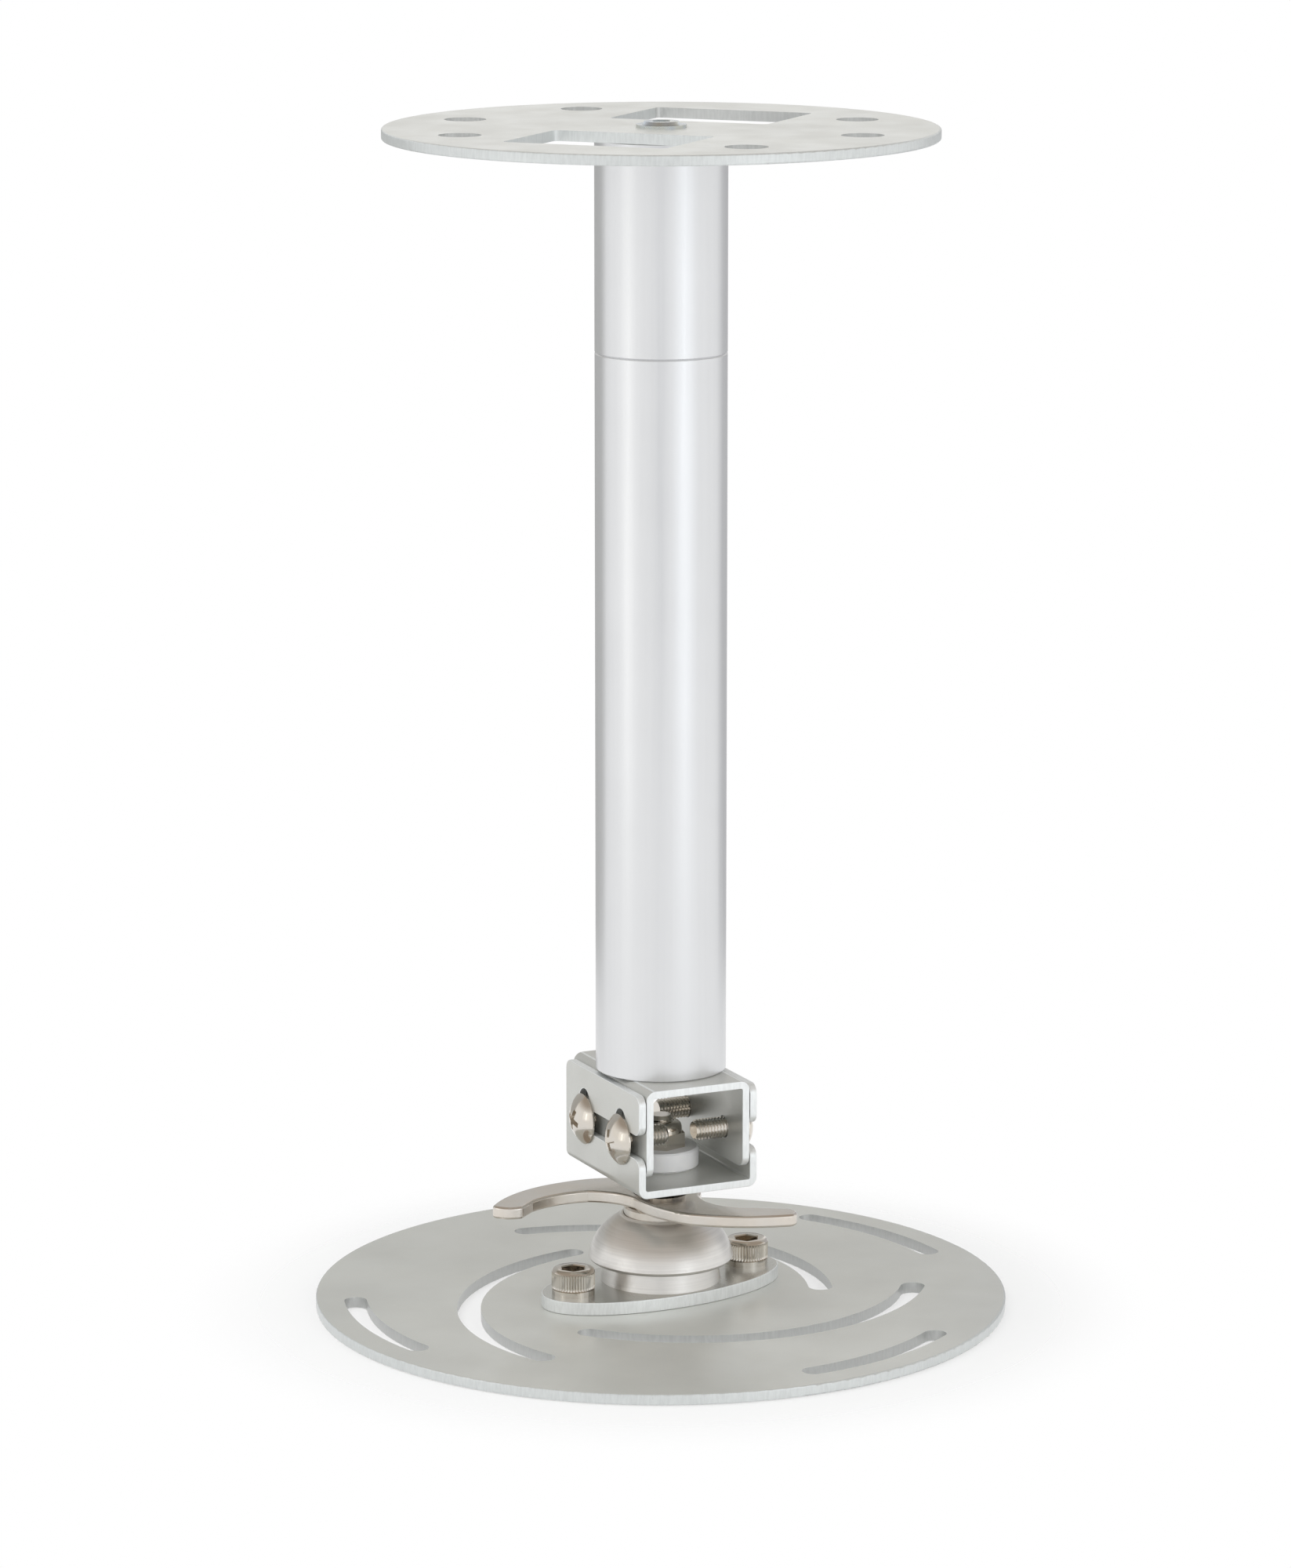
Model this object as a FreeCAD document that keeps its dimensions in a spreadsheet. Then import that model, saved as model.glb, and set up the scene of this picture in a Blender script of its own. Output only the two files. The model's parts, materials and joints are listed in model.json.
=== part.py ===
"""Projector ceiling mount.

A round ceiling plate carries a two-piece tube. A folded bracket under the tube holds four screws,
and a second bracket hooks over them. A ball stud swivels in that second bracket, its ball sits in a
turned dome, and the dome is screwed to a large slotted plate for the projector's arms. A winged
lever turns a ring down into the dome and clamps the ball.

The mount stands on its projector plate: z = 0 is the plate's underside, +Z runs up the tube, X is
the direction of the side screws, and the hooked slots open towards -Y. Lengths are millimetres.
"""

import FreeCAD, Part
import os
import re
import Sketcher

SIZES = (
    ("disc_dia", 160, "projector plate, across"),
    ("disc_thick", 2.5, "projector plate, sheet"),
    ("edge_round", 0.4, "rounding of the plates' sheared edges"),
    ("spiral_inset", 27, "long slot's radius, less than the plate's"),
    ("spiral_offset", 15.7, "long slot's own centre, from the plate's centre"),
    ("spiral_width", 5.5, "long slot, width"),
    ("spiral_sweep", 104, "long slot, degrees about its own centre"),
    ("spiral_turn", 279.4, "direction of the first long slot's centre"),
    ("spiral_count", 3, "long slots"),
    ("rim_slot_inset", 9, "rim slot's middle line, in from the plate's edge"),
    ("rim_slot_width", 5.2, "rim slot, width"),
    ("rim_slot_sweep", 32.6, "rim slot, degrees between its end centres"),
    ("rim_slot_left", 178.3, "middle of the left rim slot, degrees"),
    ("rim_slot_front", 289.9, "middle of the front rim slot, degrees"),
    ("rim_slot_right", 18.1, "middle of the right rim slot, degrees"),
    ("flange_long", 62, "oval flange, long way"),
    ("flange_wide", 30, "oval flange, short way"),
    ("flange_thick", 3, "oval flange, sheet"),
    ("flange_turn", 7, "long way of the flange, degrees from X"),
    ("cap_spacing", 47.4, "between the two cap screws"),
    ("cap_thread_dia", 6, "cap screw, thread"),
    ("cap_head_dia", 10, "cap screw, head"),
    ("cap_head_height", 4.7, "cap screw, head"),
    ("cap_socket_width", 5, "cap screw's hexagon socket, across flats"),
    ("cap_socket_depth", 2.6, "cap screw's hexagon socket"),
    ("spring_washer_dia", 9.9, "split washer, outside"),
    ("spring_washer_thick", 1.3, "split washer"),
    ("spring_washer_gap", 0.8, "split washer's cut"),
    ("spigot_radius", 11.5, "spigot of the dome, swaged into the flange"),
    ("foot_radius", 13.9, "foot of the dome, at the flange"),
    ("foot_taper", 0.8, "how much the foot narrows up to the lip"),
    ("foot_height", 4.8, "foot of the dome"),
    ("lip_overhang", 1.1, "edge of the lip under the dome's belly, out from the foot"),
    ("belly_radius", 16.8, "dome at its widest"),
    ("belly_rise", 5.7, "widest level above the flange"),
    ("lip_band", 0.8, "upright band between the dome's lip and its rounded side"),
    ("dome_height", 15.75, "dome above the flange"),
    ("dome_rim_radius", 9.5, "top rim of the dome"),
    ("dome_fullness", 1.35, "how far the dome's side stands out from a straight cone"),
    ("ball_radius", 7.5, "ball"),
    ("ball_lift", 7.1, "ball's centre above the flange"),
    ("joint_fit", 0.1, "radial clearance of the ball joint's running faces"),
    ("seat_fit", 0.05, "radial clearance of pieces that are fixed in each other"),
    ("liner_thick", 1.9, "nylon liner of the ball"),
    ("liner_mouth", 36, "half angle of the liner's top opening"),
    ("liner_skirt", 100, "angle from the top down to the liner's lower edge"),
    ("seat_drop", 3.5, "top of the ball's seat below the ball's centre"),
    ("stud_dia", 6, "stud of the ball"),
    ("collar_radius", 6, "collar on the stud, under the bracket"),
    ("collar_thick", 1.7, "collar on the stud"),
    ("thrust_radius", 8, "nylon washer over the collar"),
    ("thrust_thick", 1.6, "nylon washer over the collar"),
    ("bush_radius", 8.8, "nylon bush under the lock nut"),
    ("bush_thick", 4.6, "nylon bush under the lock nut"),
    ("nut_flats", 10, "lock nut, across flats"),
    ("nut_turn", 19, "first corner of the lock nut, degrees from X"),
    ("nut_hex_height", 3.4, "lock nut, hexagon"),
    ("nut_crown_radius", 4.95, "lock nut's round crown"),
    ("nut_crown_height", 2.6, "lock nut's round crown"),
    ("stud_show", 1.4, "stud's end above the lock nut"),
    ("ring_radius", 8.6, "clamp ring, outside"),
    ("ring_bore", 6.5, "clamp ring and lever, bore radius round the stud"),
    ("ring_show", 2.05, "clamp ring above the dome's rim"),
    ("lever_thick", 2.9, "lever plate"),
    ("lever_reach", 40, "lever, from the middle to the long wing's tip"),
    ("lever_corner", 1.5, "corners of the lever's plan"),
    ("lever_round", 0.6, "rounding of the lever's edges"),
    ("hook_clearance", 4.8, "lower bracket above the lever"),
    ("sheet_thick", 1.75, "both brackets, sheet"),
    ("bracket_length", 40.6, "both brackets, along the slots"),
    ("bend_radius", 2.2, "both brackets, outside of the bends"),
    ("corner_round", 2.4, "corners of the brackets' legs"),
    ("hook_width", 29.7, "lower bracket, outside"),
    ("hook_height", 24, "lower bracket, underside to leg tops"),
    ("arch_width", 25.9, "upper bracket, outside"),
    ("arch_height", 20.4, "upper bracket, top to leg ends"),
    ("arch_rise", 13.15, "upper bracket's top above the side screws"),
    ("screw_rise", 11.9, "side screws above the lower bracket's underside"),
    ("screw_pitch", 20, "between the two screws of one side"),
    ("screw_dia", 5, "side screw, thread"),
    ("screw_length", 11.2, "side screw, under the head"),
    ("screw_head_dia", 11.8, "side screw, domed head"),
    ("screw_head_height", 3.2, "side screw, domed head"),
    ("screw_head_edge", 0.5, "side screw, upright edge of the head"),
    ("cross_span", 5.4, "cross recess, tip to tip"),
    ("cross_width", 1.3, "cross recess, arm"),
    ("cross_depth", 2, "cross recess"),
    ("slot_clearance", 0.5, "hooked slot's width over the screw"),
    ("bay_rise", 4.4, "bays of the hooked slot above its middle line"),
    ("tube_dia", 30, "both tubes, outside"),
    ("tube_wall", 2, "both tubes, wall"),
    ("tube_chamfer", 0.25, "broken edge of the tubes' ends"),
    ("lower_tube_length", 165.75, "lower tube"),
    ("upper_tube_length", 48, "upper tube"),
    ("coupler_length", 40, "sleeve inside the seam"),
    ("coupler_wall", 2.5, "sleeve inside the seam"),
    ("plug_height", 14, "plugs in the tubes' ends"),
    ("bolt_dia", 6, "bolts in the plugs, thread"),
    ("bolt_grip", 11, "thread length inside a plug"),
    ("bolt_clearance", 0.3, "radial room of a bolt in a plate"),
    ("bracket_head_radius", 5.5, "bracket bolt, head"),
    ("bracket_head_height", 2.8, "bracket bolt, head"),
    ("bracket_washer_radius", 6, "washer under the bracket bolt"),
    ("bracket_washer_thick", 1, "washer under the bracket bolt"),
    ("ceiling_head_radius", 5.7, "ceiling bolt, head"),
    ("ceiling_head_edge", 0.7, "ceiling bolt, rim of the head"),
    ("ceiling_head_step", 4.3, "ceiling bolt, radius of the raised middle"),
    ("ceiling_head_height", 1.4, "ceiling bolt, head"),
    ("ceiling_dia", 125, "ceiling plate, across"),
    ("ceiling_thick", 2.4, "ceiling plate, sheet"),
    ("ceiling_turn", -2.5, "ceiling plate's first hole, degrees from X"),
    ("hole_dia", 9.6, "ceiling plate's screw holes"),
    ("hole_circle", 96, "circle of the screw holes, across"),
    ("window_long", 38.5, "cable window, across the radius"),
    ("window_deep", 29, "cable window, along the radius"),
    ("window_radius", 29.8, "cable window's middle from the plate's centre"),
    ("window_corner", 1.5, "cable window's corners"),
)

# The lever's plan at a reach of 40. Two numbers end a straight run, four bend through the first two.
# The long wing's back edge comes first, then the hub, the short wing and the front edge.
LEVER_PLAN_REACH = 40
LEVER_PLAN = (
    (-30.4, 13.5, -16.8, 17.3),
    (-6.0, 16.3, 4.6, 10.0),
    (9.6, 2.2, 7.0, -6.2),
    (6.8, -14.3, 13.4, -21.0),
    (20.5, -25.2),
    (21.3, -27.8, 19.0, -30.5),
    (7.0, -26.4, -2.0, -20.0),
    (-6.3, -11.8, -7.8, -2.0),
    (-10.2, 3.4, -15.1, 7.5),
    (-22.0, 7.9, -30.0, 5.2),
    (-34.3, 1.4),
    (-38.6, 2.7, -40.3, 5.2),
)

# Levels, as formulas of the sizes, from the projector plate's underside up.
FLANGE_LEVEL = "disc_thick"
FOOT_LEVEL = "(disc_thick + flange_thick)"
CAP_LEVEL = f"({FOOT_LEVEL} + spring_washer_thick)"
BALL_LEVEL = f"({FOOT_LEVEL} + ball_lift)"
LEVER_LEVEL = f"({FOOT_LEVEL} + dome_height + ring_show)"
HOOK_LEVEL = f"({LEVER_LEVEL} + lever_thick + hook_clearance)"
BUSH_LEVEL = f"({HOOK_LEVEL} + sheet_thick)"
NUT_LEVEL = f"({BUSH_LEVEL} + bush_thick)"
SCREW_LEVEL = f"({HOOK_LEVEL} + screw_rise)"
ARCH_LEVEL = f"({SCREW_LEVEL} + arch_rise)"
SEAM_LEVEL = f"({ARCH_LEVEL} + lower_tube_length)"
CEILING_LEVEL = f"({SEAM_LEVEL} + upper_tube_length)"

# Radii of the ball joint, from the ball outwards.
CUP_RADIUS = "(ball_radius + joint_fit)"
LINER_RADIUS = f"({CUP_RADIUS} + liner_thick)"
SOCKET_RADIUS = f"({LINER_RADIUS} + joint_fit)"
TUBE_BORE = "(tube_dia / 2 - tube_wall)"
THREAD_HOLE = "(bolt_dia / 2 + seat_fit)"

HALF_DIAGONAL = 0.7071
SMALL = 0.01

doc = FreeCAD.newDocument("projector_ceiling_mount")
sheet = doc.addObject("Spreadsheet::Sheet", "Sizes")
sub_parts = []


def fill_sheet():
    for row, (alias, number, meaning) in enumerate(SIZES, start=1):
        sheet.set(f"A{row}", meaning)
        sheet.set(f"B{row}", str(number))
        sheet.setAlias(f"B{row}", alias)
    doc.recompute()


# Formulas

def cells(formula):
    """The formula with each size's name turned into its cell."""
    return re.sub(r"[a-z]+(?:_[a-z]+)+", lambda name: "Sizes." + name.group(), str(formula))


def worth(formula):
    """The number that a formula gives now."""
    number = sheet.evalExpression(cells(formula))
    return float(getattr(number, "Value", number))


def bind(thing, place, formula):
    thing.setExpression(place, cells(formula))


def polar(radius, angle, x="0", y="0"):
    """The point at a radius and an angle about (x, y), as two formulas."""
    return f"{x} + ({radius}) * cos({angle})", f"{y} + ({radius}) * sin({angle})"


# Bodies and sketches

def new_body(label, level="0", export=True):
    body = doc.addObject("PartDesign::Body", label)
    body.Label = label
    bind(body, "Placement.Base.z", level)
    if export:
        sub_parts.append(body)
    return body


def origin_feature(body, role):
    return next(feature for feature in body.Origin.OriginFeatures if feature.Role == role)


def new_sketch(body, role="XY_Plane", level="0"):
    sketch = body.newObject("Sketcher::SketchObject", body.Label + "_sketch")
    sketch.AttachmentSupport = [(origin_feature(body, role), "")]
    sketch.MapMode = "FlatFace"
    bind(sketch, "AttachmentOffset.Base.z", level)
    return sketch


def fix(sketch, curve, end, x, y):
    """Hold one end of a curve at (x, y), both formulas."""
    for kind, formula in (("DistanceX", x), ("DistanceY", y)):
        constraint = Sketcher.Constraint(kind, -1, 1, curve, end, worth(formula))
        index = sketch.addConstraint(constraint)
        bind(sketch, f"Constraints[{index}]", formula)


def add_circle(sketch, radius, x="0", y="0"):
    middle = FreeCAD.Vector(worth(x), worth(y), 0)
    round_line = Part.Circle(middle, FreeCAD.Vector(0, 0, 1), worth(radius))
    curve = sketch.addGeometry(round_line, False)
    fix(sketch, curve, 3, x, y)
    index = sketch.addConstraint(Sketcher.Constraint("Radius", curve, worth(radius)))
    bind(sketch, f"Constraints[{index}]", radius)


def add_outline(sketch, *steps):
    """A closed outline. Two formulas run straight to a corner, four bend through the first two."""
    corners = [step[-2:] for step in steps]
    joints = []
    for before, step in zip(corners[-1:] + corners[:-1], steps):
        first = FreeCAD.Vector(worth(before[0]), worth(before[1]), 0)
        last = FreeCAD.Vector(worth(step[-2]), worth(step[-1]), 0)
        if len(step) == 2:
            curve = sketch.addGeometry(Part.LineSegment(first, last), False)
        else:
            through = FreeCAD.Vector(worth(step[0]), worth(step[1]), 0)
            curve = sketch.addGeometry(Part.Arc(first, through, last), False)
            marker = sketch.addGeometry(Part.Point(through), True)
            fix(sketch, marker, 1, step[0], step[1])
            sketch.addConstraint(Sketcher.Constraint("PointOnObject", marker, 1, curve))
        forward = sketch.getPoint(curve, 1).distanceToPoint(first) < SMALL
        joints.append((curve, 1, 2) if forward else (curve, 2, 1))
    for joint, following, corner in zip(joints, joints[1:] + joints[:1], corners):
        curve, start, end = joint
        next_curve, next_start, next_end = following
        sketch.addConstraint(Sketcher.Constraint("Coincident", curve, end, next_curve, next_start))
        fix(sketch, curve, end, *corner)


def add_arc_slot(sketch, radius, width, start, sweep, x="0", y="0"):
    """A slot along an arc about (x, y), with round ends."""
    end = f"({start} + {sweep})"
    half = f"({width} / 2)"
    outer = f"({radius} + {half})"
    inner = f"({radius} - {half})"
    end_x, end_y = polar(radius, end, x, y)
    start_x, start_y = polar(radius, start, x, y)
    end_cap = polar(half, f"({end} + 90)", end_x, end_y)
    start_cap = polar(half, f"({start} - 90)", start_x, start_y)
    middle = f"({start} + {sweep} / 2)"
    add_outline(
        sketch,
        start_cap + polar(outer, start, x, y),
        polar(outer, middle, x, y) + polar(outer, end, x, y),
        end_cap + polar(inner, end, x, y),
        polar(inner, middle, x, y) + polar(inner, start, x, y),
    )


# Features

def add_pad(body, sketch, length, symmetric=False):
    pad = body.newObject("PartDesign::Pad", body.Label + "_pad")
    pad.Profile = sketch
    pad.SideType = "Symmetric" if symmetric else "One side"
    bind(pad, "Length", length)
    doc.recompute()
    return pad


def add_pocket(body, sketch, depth, symmetric=False):
    """Cut downwards from the sketch, or both ways from it, and make sure that something was cut."""
    before = body.Shape.Volume
    pocket = body.newObject("PartDesign::Pocket", body.Label + "_pocket")
    pocket.Profile = sketch
    pocket.SideType = "Symmetric" if symmetric else "One side"
    bind(pocket, "Length", depth)
    doc.recompute()
    if body.Shape.Volume > before - SMALL:
        raise RuntimeError(f"a cut in {body.Label} removed nothing")
    return pocket


def repeat_round(body, feature, count):
    """Repeat a cut evenly round the Z axis."""
    pattern = body.newObject("PartDesign::PolarPattern", body.Label + "_pattern")
    pattern.Originals = [feature]
    pattern.Axis = (origin_feature(body, "Z_Axis"), [""])
    pattern.Angle = 360
    bind(pattern, "Occurrences", count)
    body.Tip = pattern
    doc.recompute()


def round_edges(body, radius, chosen):
    """Round the edges for which chosen(edge) is true."""
    doc.recompute()
    base = body.Tip
    names = [f"Edge{i}" for i, edge in enumerate(base.Shape.Edges, start=1) if chosen(edge)]
    fillet = body.newObject("PartDesign::Fillet", body.Label + "_rounding")
    fillet.Base = (base, names)
    bind(fillet, "Radius", radius)
    doc.recompute()


def turned(label, *steps, level="0", export=True):
    """A body turned about Z from half its section, in X and Z."""
    body = new_body(label, level, export)
    sketch = new_sketch(body, "XZ_Plane")
    add_outline(sketch, *steps)
    turn = body.newObject("PartDesign::Revolution", label + "_turn")
    turn.Profile = sketch
    turn.ReferenceAxis = (sketch, ["V_Axis"])
    turn.Angle = 360
    doc.recompute()
    return body


def ring(label, bore, radius, thick, level, edge="edge_round"):
    """A flat ring with broken outer edges."""
    return turned(
        label,
        (bore, "0"),
        (f"{radius} - {edge}", "0"),
        (radius, edge),
        (radius, f"{thick} - {edge}"),
        (f"{radius} - {edge}", thick),
        (bore, thick),
        level=level,
    )


def group(label, pattern_body, places):
    """One node of like pieces. Each place is x, y, level and the turn about Y."""
    copies = []
    for x, y, level, turn in places:
        copy = doc.addObject("App::Link", label + "_copy")
        copy.LinkedObject = pattern_body
        copy.Placement = FreeCAD.Placement(FreeCAD.Vector(), FreeCAD.Rotation(FreeCAD.Vector(0, 1, 0), turn))
        for axis, formula in zip("xyz", (x, y, level)):
            bind(copy, f"Placement.Base.{axis}", formula)
        copies.append(copy)
    gathered = doc.addObject("Part::Compound", label)
    gathered.Label = label
    gathered.Links = copies
    sub_parts.append(gathered)


def is_rim_edge(radius):
    """A test for the round edges of one radius about Z."""
    size = worth(radius)
    return lambda edge: hasattr(edge.Curve, "Radius") and abs(edge.Curve.Radius - size) < SMALL


def cap_screw_places(level):
    reach_x, reach_y = polar("cap_spacing / 2", "flange_turn")
    return ((reach_x, reach_y, level, 0), (f"-({reach_x})", f"-({reach_y})", level, 0))


# Ceiling end

def make_ceiling_plate():
    body = new_body("ceiling_plate", CEILING_LEVEL)
    bind(body, "Placement.Rotation.Angle", "ceiling_turn")
    blank = new_sketch(body)
    add_circle(blank, "ceiling_dia / 2")
    add_circle(blank, "bolt_dia / 2 + bolt_clearance")
    add_pad(body, blank, "ceiling_thick")
    round_edges(body, "edge_round", is_rim_edge("ceiling_dia / 2"))
    for first_angle, count in (("0", 4), ("135", 2)):
        hole = new_sketch(body, level="ceiling_thick")
        add_circle(hole, "hole_dia / 2", *polar("hole_circle / 2", first_angle))
        repeat_round(body, add_pocket(body, hole, "ceiling_thick"), count)
    window = new_sketch(body, level="ceiling_thick")
    add_window(window, "45")
    repeat_round(body, add_pocket(body, window, "ceiling_thick"), 2)


def add_window(sketch, turn):
    """A rounded rectangle whose middle lies on the given direction."""
    half_deep = "window_deep / 2"
    half_long = "window_long / 2"
    bend = f"window_corner * {1 - HALF_DIAGONAL}"

    def spot(along, across):
        x = f"(window_radius + {along}) * cos({turn}) - ({across}) * sin({turn})"
        y = f"(window_radius + {along}) * sin({turn}) + ({across}) * cos({turn})"
        return x, y

    steps = []
    for along, across, radial_first in ((1, 1, False), (-1, 1, True), (-1, -1, False), (1, -1, True)):
        near_long = spot(f"{along} * ({half_deep} - window_corner)", f"{across} * {half_long}")
        near_deep = spot(f"{along} * {half_deep}", f"{across} * ({half_long} - window_corner)")
        through = spot(f"{along} * ({half_deep} - {bend})", f"{across} * ({half_long} - {bend})")
        first, last = (near_long, near_deep) if radial_first else (near_deep, near_long)
        steps.append(first)
        steps.append(through + last)
    add_outline(sketch, *steps)


def make_ceiling_bolt():
    turned(
        "ceiling_bolt",
        ("0", "-ceiling_thick - bolt_grip"),
        ("bolt_dia / 2", "-ceiling_thick - bolt_grip"),
        ("bolt_dia / 2", "0"),
        ("ceiling_head_radius", "0"),
        ("ceiling_head_radius", "ceiling_head_edge"),
        ("ceiling_head_step", "ceiling_head_edge"),
        ("ceiling_head_step - edge_round", "ceiling_head_height"),
        ("bolt_dia / 3", "ceiling_head_height"),
        ("bolt_dia / 3", "ceiling_head_edge"),
        ("0", "ceiling_head_edge"),
        level=f"{CEILING_LEVEL} + ceiling_thick",
    )


# Column

def make_tube(label, length, level):
    outside = "tube_dia / 2"
    turned(
        label,
        (TUBE_BORE, "0"),
        (f"{outside} - tube_chamfer", "0"),
        (outside, "tube_chamfer"),
        (outside, f"{length} - tube_chamfer"),
        (f"{outside} - tube_chamfer", length),
        (TUBE_BORE, length),
        level=level,
    )


def make_column_inside():
    fitted = f"({TUBE_BORE} - seat_fit)"
    ring("top_plug", THREAD_HOLE, fitted, "plug_height", f"{CEILING_LEVEL} - plug_height")
    ring("bottom_plug", THREAD_HOLE, fitted, "plug_height", ARCH_LEVEL)
    ring("tube_coupler", f"{fitted} - coupler_wall", fitted, "coupler_length",
         f"{SEAM_LEVEL} - coupler_length / 2")


def make_bracket_bolt():
    under_sheet = f"({ARCH_LEVEL} - sheet_thick - bracket_washer_thick)"
    ring("bracket_washer", "bolt_dia / 2 + bolt_clearance", "bracket_washer_radius",
         "bracket_washer_thick", under_sheet, edge="tube_chamfer")
    turned(
        "bracket_bolt",
        ("0", "-bracket_head_height"),
        ("bracket_head_radius - edge_round", "-bracket_head_height"),
        ("bracket_head_radius", "-bracket_head_height + edge_round"),
        ("bracket_head_radius", "0"),
        ("bolt_dia / 2", "0"),
        ("bolt_dia / 2", "bracket_washer_thick + sheet_thick + bolt_grip"),
        ("0", "bracket_washer_thick + sheet_thick + bolt_grip"),
        level=under_sheet,
    )


# Folded brackets

def folded(label, level, width, height, up):
    """A U of sheet, open upwards (up = 1) or downwards (up = -1), long in Y."""
    body = new_body(label, level)
    section = new_sketch(body, "XZ_Plane")
    side = f"({width} / 2)"
    inside = f"({side} - sheet_thick)"
    straight = f"({side} - bend_radius)"
    outer_bend = f"bend_radius * {HALF_DIAGONAL}"
    inner_bend = f"(bend_radius - sheet_thick) * {HALF_DIAGONAL}"

    def spot(x, z):
        return x, f"{up} * ({z})"

    add_outline(
        section,
        spot(f"-{side}", "bend_radius"),
        spot(f"-({straight} + {outer_bend})", f"bend_radius - {outer_bend}") + spot(f"-{straight}", "0"),
        spot(straight, "0"),
        spot(f"{straight} + {outer_bend}", f"bend_radius - {outer_bend}") + spot(side, "bend_radius"),
        spot(side, height),
        spot(inside, height),
        spot(inside, "bend_radius"),
        spot(f"{straight} + {inner_bend}", f"bend_radius - {inner_bend}") + spot(straight, "sheet_thick"),
        spot(f"-{straight}", "sheet_thick"),
        spot(f"-({straight} + {inner_bend})", f"bend_radius - {inner_bend}")
        + spot(f"-{inside}", "bend_radius"),
        spot(f"-{inside}", height),
        spot(f"-{side}", height),
    )
    add_pad(body, section, "bracket_length", symmetric=True)
    return body


def is_leg_corner(levels):
    """A test for the edges across a leg's thickness at a bracket's end, at any of the levels."""
    end = worth("bracket_length / 2")
    heights = [worth(level) for level in levels]

    def test(edge):
        box = edge.BoundBox
        across = box.YLength < SMALL and box.ZLength < SMALL
        at_end = abs(abs(box.YMin) - end) < SMALL
        return across and at_end and any(abs(box.ZMin - height) < SMALL for height in heights)

    return test


def make_upper_bracket():
    body = folded("upper_bracket", ARCH_LEVEL, "arch_width", "arch_height", -1)
    bolt_hole = new_sketch(body)
    add_circle(bolt_hole, "bolt_dia / 2 + bolt_clearance")
    add_pocket(body, bolt_hole, "sheet_thick")
    tapped = new_sketch(body, "YZ_Plane")
    for side in (1, -1):
        add_circle(tapped, "screw_dia / 2 + seat_fit", f"{side} * screw_pitch / 2", "-arch_rise")
    add_pocket(body, tapped, "2 * arch_width", symmetric=True)
    round_edges(body, "corner_round", is_leg_corner(["-arch_height"]))


def make_lower_bracket():
    body = folded("lower_bracket", HOOK_LEVEL, "hook_width", "hook_height", 1)
    stud_hole = new_sketch(body, level="sheet_thick")
    add_circle(stud_hole, "stud_dia / 2 + joint_fit")
    add_pocket(body, stud_hole, "sheet_thick")
    hook = new_sketch(body, "YZ_Plane")
    half = "((screw_dia + slot_clearance) / 2)"
    floor = f"(screw_rise - {half})"
    roof = f"(screw_rise + {half})"
    bay = "(screw_rise + bay_rise)"
    back = "(screw_pitch / 2)"
    front = "(-screw_pitch / 2)"
    mouth = "(-bracket_length / 2 - sheet_thick)"
    turn = f"{half} * {HALF_DIAGONAL}"
    add_outline(
        hook,
        (mouth, floor),
        (back, floor),
        (f"{back} + {turn}", f"screw_rise - {turn}", f"{back} + {half}", "screw_rise"),
        (f"{back} + {half}", bay),
        (back, f"{bay} + {half}", f"{back} - {half}", bay),
        (f"{back} - {half}", roof),
        (f"{front} + {half}", roof),
        (f"{front} + {half}", bay),
        (front, f"{bay} + {half}", f"{front} - {half}", bay),
        (f"{front} - {half}", roof),
        (mouth, roof),
    )
    add_pocket(body, hook, "2 * hook_width", symmetric=True)
    round_edges(body, "corner_round", is_leg_corner(["hook_height", floor, roof]))


def make_side_screws():
    head_radius = "screw_head_dia / 2"
    screw = turned(
        "side_screw",
        ("0", "-screw_length"),
        ("screw_dia / 2 - edge_round", "-screw_length"),
        ("screw_dia / 2", "-screw_length + edge_round"),
        ("screw_dia / 2", "0"),
        (head_radius, "0"),
        (head_radius, "screw_head_edge"),
        (f"{head_radius} * 0.6", "screw_head_edge + (screw_head_height - screw_head_edge) * 0.68",
         "0", "screw_head_height"),
        export=False,
    )
    recess = new_sketch(screw, level="screw_head_height")
    tip = "cross_span / 2"
    arm = "cross_width / 2"
    add_outline(
        recess,
        (tip, f"-{arm}"), (tip, arm), (arm, arm), (arm, tip),
        (f"-{arm}", tip), (f"-{arm}", arm), (f"-{tip}", arm), (f"-{tip}", f"-{arm}"),
        (f"-{arm}", f"-{arm}"), (f"-{arm}", f"-{tip}"), (arm, f"-{tip}"), (arm, f"-{arm}"),
    )
    add_pocket(screw, recess, "cross_depth")
    places = []
    for side in (1, -1):
        for end in (1, -1):
            places.append((f"{side} * hook_width / 2", f"{end} * screw_pitch / 2", SCREW_LEVEL, side * 90))
    group("side_screws", screw, places)


# Swivel

def make_swivel():
    stud_hole = "stud_dia / 2 + joint_fit"
    ring("thrust_washer", stud_hole, "thrust_radius", "thrust_thick", f"{HOOK_LEVEL} - thrust_thick",
         edge="tube_chamfer")
    ring("swivel_bush", stud_hole, "bush_radius", "bush_thick", BUSH_LEVEL)
    make_lock_nut()
    make_ball_stud()


def make_lock_nut():
    body = new_body("swivel_nut", NUT_LEVEL)
    hexagon = new_sketch(body)
    corners = [polar("nut_flats / 2 / cos(30)", f"nut_turn + {60 * side}") for side in range(6)]
    add_outline(hexagon, *corners)
    add_pad(body, hexagon, "nut_hex_height")
    crown = new_sketch(body, level="nut_hex_height")
    add_circle(crown, "nut_crown_radius")
    add_pad(body, crown, "nut_crown_height")
    top = worth("nut_hex_height + nut_crown_height")
    round_edges(body, "nut_crown_height * 0.7", lambda edge: edge.BoundBox.ZMin > top - SMALL)
    bore = new_sketch(body, level="nut_hex_height + nut_crown_height")
    add_circle(bore, "stud_dia / 2 + seat_fit")
    add_pocket(body, bore, "nut_hex_height + nut_crown_height")


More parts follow.
